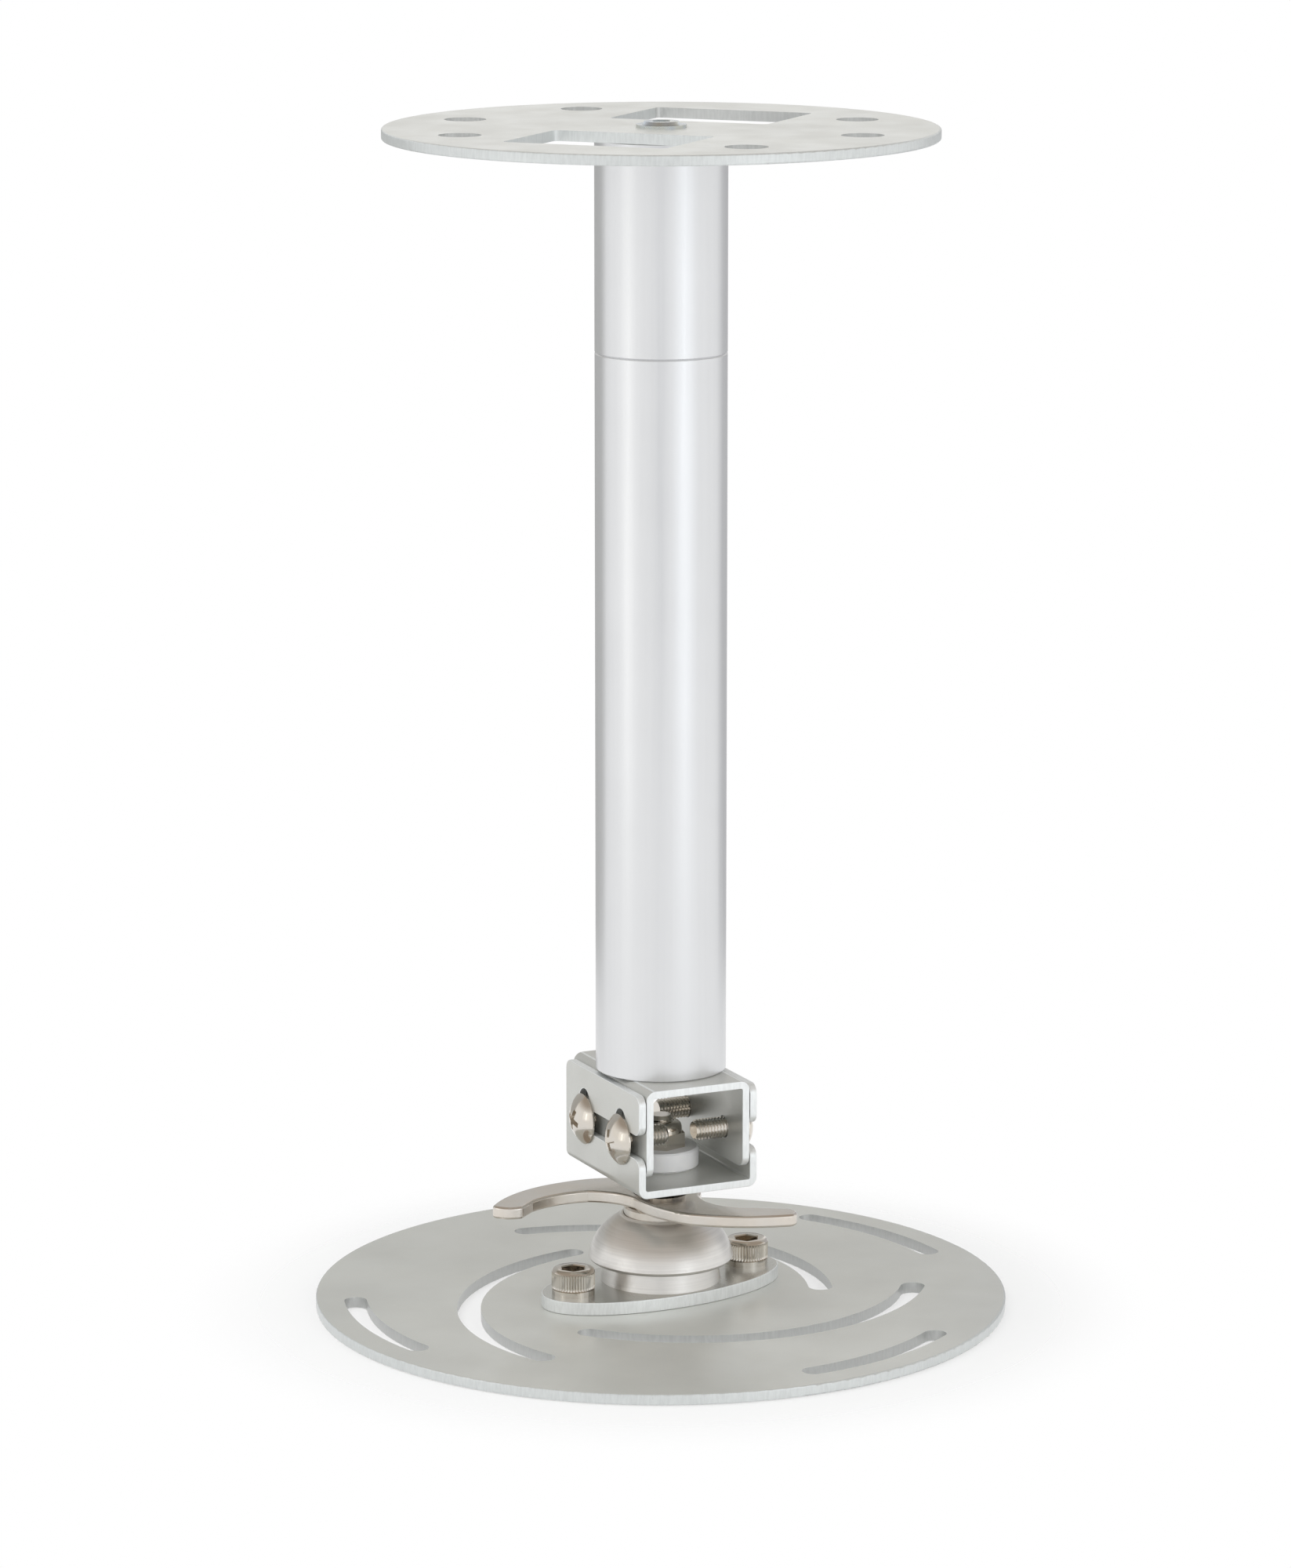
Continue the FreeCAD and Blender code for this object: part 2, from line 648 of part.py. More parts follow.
def make_ball_stud():
    shank = "stud_dia / 2"
    collar_top = f"({HOOK_LEVEL} - thrust_thick - {BALL_LEVEL})"
    end = f"({NUT_LEVEL} + nut_hex_height + nut_crown_height + stud_show - {BALL_LEVEL})"
    turned(
        "ball_stud",
        ("0", "-ball_radius"),
        ("ball_radius", "0", shank, f"sqrt(ball_radius ^ 2 - ({shank}) ^ 2)"),
        (shank, f"{collar_top} - collar_thick"),
        ("collar_radius", f"{collar_top} - collar_thick"),
        ("collar_radius", collar_top),
        (shank, collar_top),
        (shank, f"{end} - edge_round"),
        (f"{shank} - edge_round", end),
        ("0", end),
        level=BALL_LEVEL,
    )


# Ball joint

def make_ball_liner():
    middle = "(liner_mouth + liner_skirt) / 2"

    def shell_point(radius, angle):
        return f"{radius} * sin({angle})", f"{radius} * cos({angle})"

    turned(
        "ball_liner",
        shell_point(LINER_RADIUS, "liner_mouth"),
        shell_point(LINER_RADIUS, middle) + shell_point(LINER_RADIUS, "liner_skirt"),
        shell_point(CUP_RADIUS, "liner_skirt"),
        shell_point(CUP_RADIUS, middle) + shell_point(CUP_RADIUS, "liner_mouth"),
        level=BALL_LEVEL,
    )


def make_ball_seat():
    outside = f"({SOCKET_RADIUS} - seat_fit)"
    bottom = f"({FLANGE_LEVEL} - {BALL_LEVEL})"
    turned(
        "ball_seat",
        ("0", bottom),
        (outside, bottom),
        (outside, "-seat_drop"),
        (f"sqrt({CUP_RADIUS} ^ 2 - seat_drop ^ 2)", "-seat_drop"),
        (f"{CUP_RADIUS} * sin(30)", f"-{CUP_RADIUS} * cos(30)", "0", f"-{CUP_RADIUS}"),
        level=BALL_LEVEL,
    )


def make_ball_housing():
    ring_hole = "(ring_radius + joint_fit)"
    foot = "(-ball_lift)"
    lip = f"({foot} + foot_height)"
    belly = f"({foot} + belly_rise)"
    rim = f"({foot} + dome_height)"
    lip_edge = "(foot_radius + lip_overhang)"
    # The dome's side bulges out at right angles to the line from its band to its rim.
    band = f"({belly} + lip_band)"
    band_radius = "(belly_radius - edge_round / 2)"
    fall = "(dome_height - belly_rise - lip_band - edge_round)"
    run = f"({band_radius} - dome_rim_radius)"
    slope = f"sqrt({fall} ^ 2 + {run} ^ 2)"
    bulge_x = f"({band_radius} + dome_rim_radius) / 2 + dome_fullness * {fall} / {slope}"
    bulge_z = f"{band} + {fall} / 2 + dome_fullness * {run} / {slope}"
    turned(
        "ball_housing",
        (SOCKET_RADIUS, f"{foot} - flange_thick"),
        ("spigot_radius", f"{foot} - flange_thick"),
        ("spigot_radius", foot),
        ("foot_radius", foot),
        ("foot_radius - foot_taper", lip),
        (lip_edge, lip),
        (f"{lip_edge} + (belly_radius - {lip_edge}) * 0.78", f"{lip} + ({belly} - {lip}) * 0.36",
         "belly_radius", belly),
        (band_radius, band),
        (bulge_x, bulge_z, "dome_rim_radius", f"{rim} - edge_round"),
        ("dome_rim_radius - edge_round", rim),
        (ring_hole, rim),
        (ring_hole, f"sqrt({SOCKET_RADIUS} ^ 2 - {ring_hole} ^ 2)"),
        (f"{SOCKET_RADIUS} * cos(13)", f"{SOCKET_RADIUS} * sin(13)", SOCKET_RADIUS, "0"),
        level=BALL_LEVEL,
    )


def make_clamp_ring():
    top = f"({LEVER_LEVEL} - {BALL_LEVEL})"
    ring_middle = "((ring_radius + ring_bore) / 2)"
    turned(
        "clamp_ring",
        ("ring_bore", f"sqrt({SOCKET_RADIUS} ^ 2 - ring_bore ^ 2)"),
        (ring_middle, f"sqrt({SOCKET_RADIUS} ^ 2 - {ring_middle} ^ 2)",
         "ring_radius", f"sqrt({SOCKET_RADIUS} ^ 2 - ring_radius ^ 2)"),
        ("ring_radius", f"{top} - edge_round"),
        ("ring_radius - edge_round", top),
        ("ring_bore", top),
        level=BALL_LEVEL,
    )


def make_clamp_lever():
    body = new_body("clamp_lever", LEVER_LEVEL)
    plan = new_sketch(body)
    steps = [tuple(f"{number / LEVER_PLAN_REACH} * lever_reach" for number in step) for step in LEVER_PLAN]
    add_outline(plan, *steps)
    add_pad(body, plan, "lever_thick")
    round_edges(body, "lever_corner", lambda edge: edge.BoundBox.ZLength > SMALL)
    round_edges(body, "lever_round", lambda edge: edge.BoundBox.ZLength < SMALL)
    bore = new_sketch(body, level="lever_thick")
    add_circle(bore, "ring_bore")
    add_pocket(body, bore, "lever_thick")


# Projector end

def make_flange_plate():
    oval = doc.addObject("Part::Ellipse", "flange_oval")
    bind(oval, "MajorRadius", "flange_long / 2")
    bind(oval, "MinorRadius", "flange_wide / 2")
    blank = doc.addObject("Part::Extrusion", "flange_blank")
    blank.Base = oval
    blank.DirMode = "Custom"
    blank.Dir = FreeCAD.Vector(0, 0, 1)
    blank.Solid = True
    bind(blank, "LengthFwd", "flange_thick")
    holes = []
    for radius, x in (("spigot_radius + seat_fit", "0"),
                      ("cap_thread_dia / 2 + bolt_clearance", "cap_spacing / 2"),
                      ("cap_thread_dia / 2 + bolt_clearance", "-cap_spacing / 2")):
        hole = doc.addObject("Part::Cylinder", "flange_hole")
        bind(hole, "Radius", radius)
        bind(hole, "Height", "flange_thick")
        bind(hole, "Placement.Base.x", x)
        holes.append(hole)
    drills = doc.addObject("Part::MultiFuse", "flange_drills")
    drills.Shapes = holes
    flange = doc.addObject("Part::Cut", "flange_plate")
    flange.Label = "flange_plate"
    flange.Base = blank
    flange.Tool = drills
    bind(flange, "Placement.Base.z", FLANGE_LEVEL)
    bind(flange, "Placement.Rotation.Angle", "flange_turn")
    sub_parts.append(flange)


def make_cap_screws():
    head_radius = "cap_head_dia / 2"
    stack = "(spring_washer_thick + flange_thick + disc_thick)"
    screw = turned(
        "cap_screw",
        ("0", f"edge_round - {stack}"),
        ("cap_thread_dia / 2", f"edge_round - {stack}"),
        ("cap_thread_dia / 2", "0"),
        (head_radius, "0"),
        (head_radius, "cap_head_height - edge_round"),
        (f"{head_radius} - edge_round", "cap_head_height"),
        ("0", "cap_head_height"),
        export=False,
    )
    socket = new_sketch(screw, level="cap_head_height")
    corners = [polar("cap_socket_width / 2 / cos(30)", str(60 * side)) for side in range(6)]
    add_outline(socket, *corners)
    add_pocket(screw, socket, "cap_socket_depth")
    group("cap_screws", screw, cap_screw_places(CAP_LEVEL))


def make_spring_washers():
    washer = new_body("spring_washer", export=False)
    blank = new_sketch(washer)
    add_circle(blank, "spring_washer_dia / 2")
    add_circle(blank, "cap_thread_dia / 2 + seat_fit")
    add_pad(washer, blank, "spring_washer_thick")
    split = new_sketch(washer, "XZ_Plane")
    lean = "spring_washer_thick / 2"
    add_outline(
        split,
        (f"-spring_washer_gap / 2 - {lean}", "0"),
        (f"spring_washer_gap / 2 - {lean}", "0"),
        (f"spring_washer_gap / 2 + {lean}", "spring_washer_thick"),
        (f"-spring_washer_gap / 2 + {lean}", "spring_washer_thick"),
    )
    add_pocket(washer, split, "spring_washer_dia")
    group("spring_washers", washer, cap_screw_places(FOOT_LEVEL))


def make_projector_plate():
    body = new_body("projector_plate")
    blank = new_sketch(body)
    add_circle(blank, "disc_dia / 2")
    add_pad(body, blank, "disc_thick")
    round_edges(body, "edge_round", is_rim_edge("disc_dia / 2"))
    spiral = new_sketch(body, level="disc_thick")
    centre = polar("spiral_offset", "spiral_turn")
    spiral_radius = "(disc_dia / 2 - spiral_inset)"
    add_arc_slot(spiral, spiral_radius, "spiral_width", "(spiral_turn + 180)", "spiral_sweep", *centre)
    repeat_round(body, add_pocket(body, spiral, "disc_thick"), "spiral_count")
    for middle in ("rim_slot_left", "rim_slot_front", "rim_slot_right"):
        slot = new_sketch(body, level="disc_thick")
        add_arc_slot(slot, "(disc_dia / 2 - rim_slot_inset)", "rim_slot_width",
                     f"({middle} - rim_slot_sweep / 2)", "rim_slot_sweep")
        add_pocket(body, slot, "disc_thick")
    tapped = new_sketch(body, level="disc_thick")
    for x, y, level, turn in cap_screw_places("0"):
        add_circle(tapped, "cap_thread_dia / 2 + seat_fit", x, y)
    add_pocket(body, tapped, "disc_thick")


def check_and_write():
    """Stop on any object that failed, then write one file for each sub-part."""
    doc.recompute()
    for thing in doc.Objects:
        if "Invalid" in thing.State or "Error" in thing.State:
            raise RuntimeError(f"{thing.Label} failed: {thing.State}")
    for thing in sub_parts:
        if thing.Shape.isNull() or not thing.Shape.isValid():
            raise RuntimeError(f"{thing.Label} has no valid shape")
    os.makedirs("parts", exist_ok=True)
    for thing in sub_parts:
        thing.Shape.exportStep(f"parts/{thing.Label}.step")
        box = thing.Shape.BoundBox
        print(f"{thing.Label}: {len(thing.Shape.Solids)} solids, {thing.Shape.Volume:.1f} mm3, "
              f"z {box.ZMin:.2f} to {box.ZMax:.2f}")


fill_sheet()
make_ceiling_plate()
make_ceiling_bolt()
make_tube("upper_tube", "upper_tube_length", SEAM_LEVEL)
make_tube("lower_tube", "lower_tube_length", ARCH_LEVEL)
make_column_inside()
make_bracket_bolt()
make_upper_bracket()
make_lower_bracket()
make_side_screws()
make_swivel()
make_ball_liner()
make_ball_seat()
make_ball_housing()
make_clamp_ring()
make_clamp_lever()
make_flange_plate()
make_cap_screws()
make_spring_washers()
make_projector_plate()
check_and_write()
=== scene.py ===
"""Projector ceiling mount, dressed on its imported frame.

The sheet pieces get softened edges, the screws get threads, recesses and knurls, and every piece gets
its own finish. Lengths are metres, in the frame's own axes.
"""

import json
import math

import bmesh
import bpy
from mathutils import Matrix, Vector

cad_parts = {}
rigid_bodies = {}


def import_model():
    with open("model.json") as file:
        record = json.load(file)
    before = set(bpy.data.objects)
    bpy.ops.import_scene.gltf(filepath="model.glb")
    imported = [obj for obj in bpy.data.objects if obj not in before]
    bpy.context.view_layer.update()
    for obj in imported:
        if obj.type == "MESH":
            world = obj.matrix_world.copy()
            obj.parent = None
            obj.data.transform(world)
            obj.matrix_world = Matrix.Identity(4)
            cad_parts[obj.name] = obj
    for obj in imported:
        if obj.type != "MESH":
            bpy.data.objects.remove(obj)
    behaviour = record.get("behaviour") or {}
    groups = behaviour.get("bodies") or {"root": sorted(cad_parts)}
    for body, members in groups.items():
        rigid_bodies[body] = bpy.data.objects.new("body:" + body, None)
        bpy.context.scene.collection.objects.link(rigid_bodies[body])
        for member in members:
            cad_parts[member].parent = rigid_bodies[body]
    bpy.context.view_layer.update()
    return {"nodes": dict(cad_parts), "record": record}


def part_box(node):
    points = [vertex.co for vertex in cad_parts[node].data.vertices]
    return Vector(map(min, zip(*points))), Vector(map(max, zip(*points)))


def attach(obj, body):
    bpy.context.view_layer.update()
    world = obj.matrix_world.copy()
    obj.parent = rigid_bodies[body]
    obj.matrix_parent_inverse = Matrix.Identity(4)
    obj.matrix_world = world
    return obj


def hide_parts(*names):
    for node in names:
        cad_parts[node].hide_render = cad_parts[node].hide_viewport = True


bl_info = {
    "name": "Projector Ceiling Mount",
    "version": (1, 0, 0),
    "blender": (4, 5, 0),
    "location": "View3D > Sidebar > Mount",
    "description": "Dresses the mount's frame and sets it in a plain studio",
    "category": "Object",
}

for leftover in list(bpy.data.objects):
    bpy.data.objects.remove(leftover)
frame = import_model()

MM = 0.001
BODY_OF = {node: body for body, nodes in frame["record"]["behaviour"]["bodies"].items() for node in nodes}


# Sizes, finishes and studio, as a user would change them

def length(name, description, millimetres):
    return bpy.props.FloatProperty(name=name, description=description, default=millimetres * MM, min=0.0,
                                   precision=5, subtype="DISTANCE", unit="LENGTH")


def tint(name, description, colour):
    return bpy.props.FloatVectorProperty(name=name, description=description, default=colour, size=3, min=0.0,
                                         max=1.0, subtype="COLOR")


def share(name, description, value):
    return bpy.props.FloatProperty(name=name, description=description, default=value, min=0.0, max=1.0,
                                   subtype="FACTOR")


def brightness(name, description, value):
    return bpy.props.FloatProperty(name=name, description=description, default=value, min=0.0)


def camera_angle(name, description, radians):
    return bpy.props.FloatProperty(name=name, description=description, default=radians, subtype="ANGLE",
                                   unit="ROTATION")


class MountSizes(bpy.types.PropertyGroup):
    edge_break: length("Edge break", "Width of the softened sheared edges", 0.25)
    side_head: length("Side screw head", "Diameter of a domed head", 11.8)
    side_head_height: length("Side screw head height", "From the bracket to the top of the dome", 3.2)
    side_head_edge: length("Side screw head edge", "Upright edge of the domed head", 0.5)
    side_thread: length("Side screw thread", "Outside diameter", 5.0)
    side_length: length("Side screw length", "Under the head", 11.2)
    side_pitch: length("Side screw pitch", "Rise of one thread turn", 0.8)
    recess_span: length("Cross recess span", "Tip to tip", 5.6)
    recess_width: length("Cross recess arm", "Width of an arm at the surface", 1.35)
    recess_depth: length("Cross recess depth", "Below the top of the dome", 2.1)
    cap_head: length("Cap screw head", "Diameter over the knurl", 10.0)
    cap_head_height: length("Cap screw head height", "From the washer to the top", 4.7)
    cap_thread: length("Cap screw thread", "Outside diameter", 6.0)
    cap_pitch: length("Cap screw pitch", "Rise of one thread turn", 1.0)
    socket_flats: length("Hexagon socket", "Across flats", 5.0)
    socket_depth: length("Hexagon socket depth", "Below the top of the head", 2.6)
    knurl_depth: length("Knurl depth", "Of the grooves round a cap head", 0.3)
    knurl_count: bpy.props.IntProperty(name="Knurl grooves", description="Grooves round a cap head",
                                       default=44, min=8, max=90)
    stud_thread: length("Stud thread", "Outside diameter of the ball stud's end", 6.0)
    stud_pitch: length("Stud pitch", "Rise of one thread turn", 1.0)


class MountFinishes(bpy.types.PropertyGroup):
    paint: tint("Satin paint", "Colour of the plates", (0.70, 0.708, 0.672))
    bracket: tint("Bracket paint", "Colour of the brackets", (0.625, 0.63, 0.60))
    # Sheared edge: much lighter than the paint, partly the bare cut edge and partly painted highlight on
    # edges that face the lamps.
    sheared: tint("Sheared edge", "Colour of the brackets' and flange's cut edges", (0.86, 0.885, 0.885))
    rim: tint("Plate edge", "Colour of the round plates' cut edges", (0.68, 0.705, 0.70))
    # Slot wall: darker than the paint, as painted shade inside the slots and holes.
    wall: tint("Slot wall", "Colour inside the plates' slots and holes", (0.58, 0.59, 0.58))
    tube: tint("Tube", "Colour of the satin tubes", (0.735, 0.742, 0.752))
    dome: tint("Dome", "Colour of the turned dome", (0.76, 0.745, 0.72))
    nickel: tint("Nickel", "Colour of the plated screws and nut", (0.66, 0.63, 0.585))
    lever: tint("Lever", "Colour of the satin nickel lever and ring", (0.69, 0.658, 0.618))
    zinc: tint("Zinc", "Colour of the plated bolts and plugs", (0.60, 0.63, 0.64))
    nylon: tint("Nylon", "Colour of the moulded washers", (0.965, 0.98, 1.0))
    wear: share("Wear", "How much the edges and faces are rubbed", 0.5)


class MountStudio(bpy.types.PropertyGroup):
    fill: share("Fill", "Light from all round", 0.60)
    left_box: brightness("Left softbox", "Brightness of its face", 0.32)
    gloss_box: brightness("Gloss softboxes", "Brightness that the metal reflects", 1.1)
    right_box: brightness("Right softbox", "Brightness of its face", 1.8)
    top_box: brightness("Top softbox", "Brightness of its face", 1.75)
    lens: bpy.props.FloatProperty(name="Lens", description="Focal length in millimetres", default=136.2,
                                  min=10.0)
    place: bpy.props.FloatVectorProperty(name="Camera", description="Where the camera stands",
                                         default=(-0.5603, -1.2009, 0.3989), size=3, subtype="TRANSLATION",
                                         unit="LENGTH")
    heading: camera_angle("Heading", "Direction the camera looks in, from X", math.radians(65.14))
    dip: camera_angle("Dip", "Angle the camera looks down by", 0.2056)


# Materials

class Finish:
    """A node material with its principled shader, and short ways to add to it."""

    def __init__(self, name, metallic=0.0):
        self.material = bpy.data.materials.new(name)
        self.material.use_nodes = True
        self.tree = self.material.node_tree
        self.shader = self.tree.nodes["Principled BSDF"]
        self.shader.inputs["Metallic"].default_value = metallic
        self.coords = self.tree.nodes.new("ShaderNodeTexCoord").outputs["Object"]

    def link(self, source, target):
        self.tree.links.new(source, target)

    def stretched(self, scale):
        node = self.tree.nodes.new("ShaderNodeMapping")
        node.inputs["Scale"].default_value = scale
        self.link(self.coords, node.inputs["Vector"])
        return node.outputs["Vector"]

    def noise(self, scale, detail=3.0, coords=None, roughness=0.5):
        node = self.tree.nodes.new("ShaderNodeTexNoise")
        node.inputs["Scale"].default_value = scale
        node.inputs["Detail"].default_value = detail
        node.inputs["Roughness"].default_value = roughness
        self.link(coords or self.coords, node.inputs["Vector"])
        return node.outputs["Fac"]

    def ramp(self, factor, low, high, from_low=0.35, from_high=0.65):
        node = self.tree.nodes.new("ShaderNodeMapRange")
        node.inputs["From Min"].default_value = from_low
        node.inputs["From Max"].default_value = from_high
        node.inputs["To Min"].default_value = low
        node.inputs["To Max"].default_value = high
        self.link(factor, node.inputs["Value"])
        return node.outputs["Result"]

    def blend(self, factor, first, second):
        node = self.tree.nodes.new("ShaderNodeMix")
        node.data_type = "RGBA"
        self.link(factor, node.inputs["Factor"])
        for socket, value in ((node.inputs[6], first), (node.inputs[7], second)):
            if isinstance(value, bpy.types.NodeSocket):
                self.link(value, socket)
            else:
                socket.default_value = (*value, 1.0)
        return node.outputs[2]

    def maths(self, operation, first, second=0.0):
        node = self.tree.nodes.new("ShaderNodeMath")
        node.operation = operation
        for socket, value in zip(node.inputs, (first, second)):
            if isinstance(value, bpy.types.NodeSocket):
                self.link(value, socket)
            else:
                socket.default_value = value
        return node.outputs["Value"]

    def bump(self, height, strength, distance):
        node = self.tree.nodes.new("ShaderNodeBump")
        node.inputs["Strength"].default_value = strength
        node.inputs["Distance"].default_value = distance
        self.link(height, node.inputs["Height"])
        self.link(node.outputs["Normal"], self.shader.inputs["Normal"])

    def colour(self, source):
        self.link(source, self.shader.inputs["Base Color"])

    def roughness(self, source):
        self.link(source, self.shader.inputs["Roughness"])


def shade(colour, factor):
    return tuple(min(1.0, channel * factor) for channel in colour)


def tinted(colour, tones):
    return tuple(channel * tone for channel, tone in zip(colour, tones))


def satin_paint(name, colour, wear, metallic, smooth):
    """Fine satin silver paint: a faint mottle, a metal flake and a few rubbed spots."""
    paint = Finish(name, metallic=metallic)
    mottle = paint.noise(38.0, 4.0)
    flake = paint.noise(5200.0, 1.0)
    body = paint.blend(paint.ramp(mottle, 0.0, 1.0), shade(colour, 0.955), shade(colour, 1.035))
    grains = paint.blend(paint.ramp(flake, 0.0, 0.30, 0.5, 0.75), body, shade(colour, 1.28))
    rubbed = paint.noise(310.0, 6.0, roughness=0.72)
    spots = paint.ramp(rubbed, 0.0, 0.55 * wear, 0.66, 0.74)
    paint.colour(paint.blend(spots, grains, shade(colour, 1.35)))
    paint.roughness(paint.ramp(paint.noise(120.0, 4.0), smooth, smooth + 0.08))
    paint.bump(paint.noise(2600.0, 2.0), 0.22, 0.03 * MM)
    return paint.material


def sheared_edge(name, colour, wear):
    """Cut faces of the sheets in the colour given, with faint upright shear marks and small nicks; the light
    edge colour is partly painted highlight, the dark slot-wall colour is painted shade.
    """
    edge = Finish(name, metallic=0.5)
    marks = edge.noise(1900.0, 3.0, edge.stretched((1.0, 1.0, 0.2)))
    nicks = edge.noise(900.0, 5.0, roughness=0.65)
    body = edge.blend(edge.ramp(marks, 0.0, 1.0), shade(colour, 0.95), shade(colour, 1.04))
    edge.colour(edge.blend(edge.ramp(nicks, 0.0, 0.7 * wear, 0.66, 0.72), body, shade(colour, 0.72)))
    edge.roughness(edge.ramp(marks, 0.30, 0.42))
    edge.bump(edge.maths("ADD", marks, nicks), 0.16, 0.04 * MM)
    return edge.material


def satin_tube(name, colour):
    """Drawn and satin finished tube: fine lengthwise streaks and a very soft mottle."""
    tube = Finish(name, metallic=0.92)
    streaks = tube.noise(900.0, 3.0, tube.stretched((1.0, 1.0, 0.015)))
    mottle = tube.noise(45.0, 3.0)
    body = tube.blend(tube.ramp(streaks, 0.0, 1.0), shade(colour, 0.988), shade(colour, 1.01))
    tube.colour(tube.blend(tube.ramp(mottle, 0.0, 0.4), body, shade(colour, 1.05)))
    tube.roughness(tube.ramp(streaks, 0.305, 0.345))
    tube.bump(tube.noise(3000.0, 2.0), 0.10, 0.02 * MM)
    return tube.material


def turned_dome(name, colour):
    """Turned and blasted aluminium: fine rings round the axis under an even grain."""
    dome = Finish(name, metallic=0.9)
    rings = dome.noise(2600.0, 2.0, dome.stretched((0.02, 0.02, 1.0)))
    grain = dome.noise(2200.0, 2.0)
    body = dome.blend(dome.ramp(rings, 0.0, 1.0), shade(colour, 0.95), shade(colour, 1.05))
    dome.colour(dome.blend(dome.ramp(dome.noise(90.0, 4.0), 0.0, 0.35), body, shade(colour, 1.1)))
    dome.roughness(dome.ramp(grain, 0.32, 0.41))
    dome.bump(dome.maths("ADD", rings, grain), 0.16, 0.04 * MM)
    return dome.material


def nickel_plate(name, colour):
    """Nickel plate: bright and slightly warm, with a faint cloudiness in its gloss."""
    nickel = Finish(name, metallic=1.0)
    cloud = nickel.noise(160.0, 4.0)
    warm = tinted(colour, (1.01, 0.975, 0.925))
    nickel.colour(nickel.blend(nickel.ramp(cloud, 0.0, 1.0), shade(colour, 1.03), warm))
    nickel.roughness(nickel.ramp(nickel.noise(420.0, 3.0), 0.10, 0.18))
    nickel.bump(nickel.noise(1400.0, 2.0), 0.06, 0.03 * MM)
    return nickel.material


def satin_nickel(name, colour):
    """Nickel over a tumbled blank: softer than the screws' plate, with a fine even grain."""
    lever = Finish(name, metallic=1.0)
    cloud = lever.noise(130.0, 4.0)
    warm = tinted(colour, (1.01, 0.98, 0.94))
    lever.colour(lever.blend(lever.ramp(cloud, 0.0, 1.0), shade(colour, 1.02), warm))
    lever.roughness(lever.ramp(lever.noise(900.0, 3.0), 0.17, 0.26))
    lever.bump(lever.noise(2400.0, 2.0), 0.08, 0.03 * MM)
    return lever.material


def zinc_plate(name, colour):
    """Bright zinc plate: bluish, with the faint straw and blue tints of its passivation."""
    zinc = Finish(name, metallic=1.0)
    tints = zinc.noise(210.0, 2.0)
    straw = tinted(colour, (1.08, 1.03, 0.90))
    blue = tinted(colour, (0.94, 0.99, 1.08))
    zinc.colour(zinc.blend(zinc.ramp(tints, 0.0, 1.0), blue, straw))
    zinc.roughness(zinc.ramp(zinc.noise(700.0, 3.0), 0.24, 0.36))
    zinc.bump(zinc.noise(1800.0, 2.0), 0.08, 0.03 * MM)
    return zinc.material


def white_nylon(name, colour):
    """Moulded nylon: bluish white, faintly translucent, with a soft moulded grain."""
    nylon = Finish(name)
    nylon.shader.inputs["Subsurface Weight"].default_value = 0.12
    nylon.shader.inputs["Subsurface Radius"].default_value = (0.0012, 0.0012, 0.0014)
    cloud = nylon.noise(240.0, 3.0)
    nylon.colour(nylon.blend(nylon.ramp(cloud, 0.0, 1.0), shade(colour, 0.96), shade(colour, 1.03)))
    nylon.roughness(nylon.ramp(nylon.noise(900.0, 3.0), 0.40, 0.52))
    nylon.bump(nylon.noise(1600.0, 2.0), 0.10, 0.04 * MM)
    return nylon.material


def finishes():
    """The part's materials by the names of their finishes, each made once."""
    chosen = bpy.context.scene.mount_finishes
    wear = chosen.wear
    recipes = {
        "silver_paint": (satin_paint, "paint_finish", chosen.paint, wear, 0.5, 0.28),
        "flange_face": (satin_paint, "flange_finish", chosen.bracket, wear, 0.8, 0.2),
        "bracket_face": (satin_paint, "bracket_finish", chosen.bracket, wear, 0.5, 0.28),
        # The sheared edges' light colour is partly the bare cut edge, partly painted highlight.
        "sheared_edge": (sheared_edge, "edge_finish", chosen.sheared, wear),
        "plate_edge": (sheared_edge, "rim_finish", chosen.rim, wear),
        # The slot walls' darker colour is painted shade.
        "painted_slot_shade": (sheared_edge, "wall_finish", chosen.wall, wear),
        "satin_tube": (satin_tube, "tube_finish", chosen.tube),
        "turned_aluminium": (turned_dome, "dome_finish", chosen.dome),
        "nickel_plate": (nickel_plate, "nickel_finish", chosen.nickel),
        "satin_nickel": (satin_nickel, "lever_finish", chosen.lever),
        "zinc_plate": (zinc_plate, "zinc_finish", chosen.zinc),
        "white_nylon": (white_nylon, "nylon_finish", chosen.nylon),
    }
    return {slot: bpy.data.materials.get(name) or make(name, *values)
            for slot, (make, name, *values) in recipes.items()}


def finish_nodes(slot, *nodes):
    """Gives frame nodes a finish and leaves their shapes alone."""
    material = finishes()[slot]
    for node in nodes:
        data = frame["nodes"][node].data
        for index in range(len(data.materials)):
            data.materials[index] = material
        if not data.materials:
            data.materials.append(material)


# Meshes

SHARP_ANGLE = math.radians(35.0)
ON_AXIS = 1e-7


def new_object(name, mesh):
    piece = bpy.data.objects.new(name, mesh)
    bpy.context.collection.objects.link(piece)
    return piece


def settle(piece):
    """Bakes a piece's modifiers into a plain mesh with smooth faces and sharp creases."""
    bpy.context.view_layer.update()
    graph = bpy.context.evaluated_depsgraph_get()
    mesh = bpy.data.meshes.new_from_object(piece.evaluated_get(graph), preserve_all_data_layers=True,
                                           depsgraph=graph)
    if not mesh.polygons:
        raise RuntimeError(f"{piece.name} came out empty")
    old = piece.data
    piece.modifiers.clear()
    piece.data = mesh
    bpy.data.meshes.remove(old)
    mesh.name = piece.name
    mesh.shade_smooth()
    mesh.set_sharp_from_angle(angle=SHARP_ANGLE)
    return mesh


def place(piece, node, slot):
    """Puts a finished piece in the place of a frame node, on the node's body."""
    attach(piece, BODY_OF[node])
    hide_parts(node)


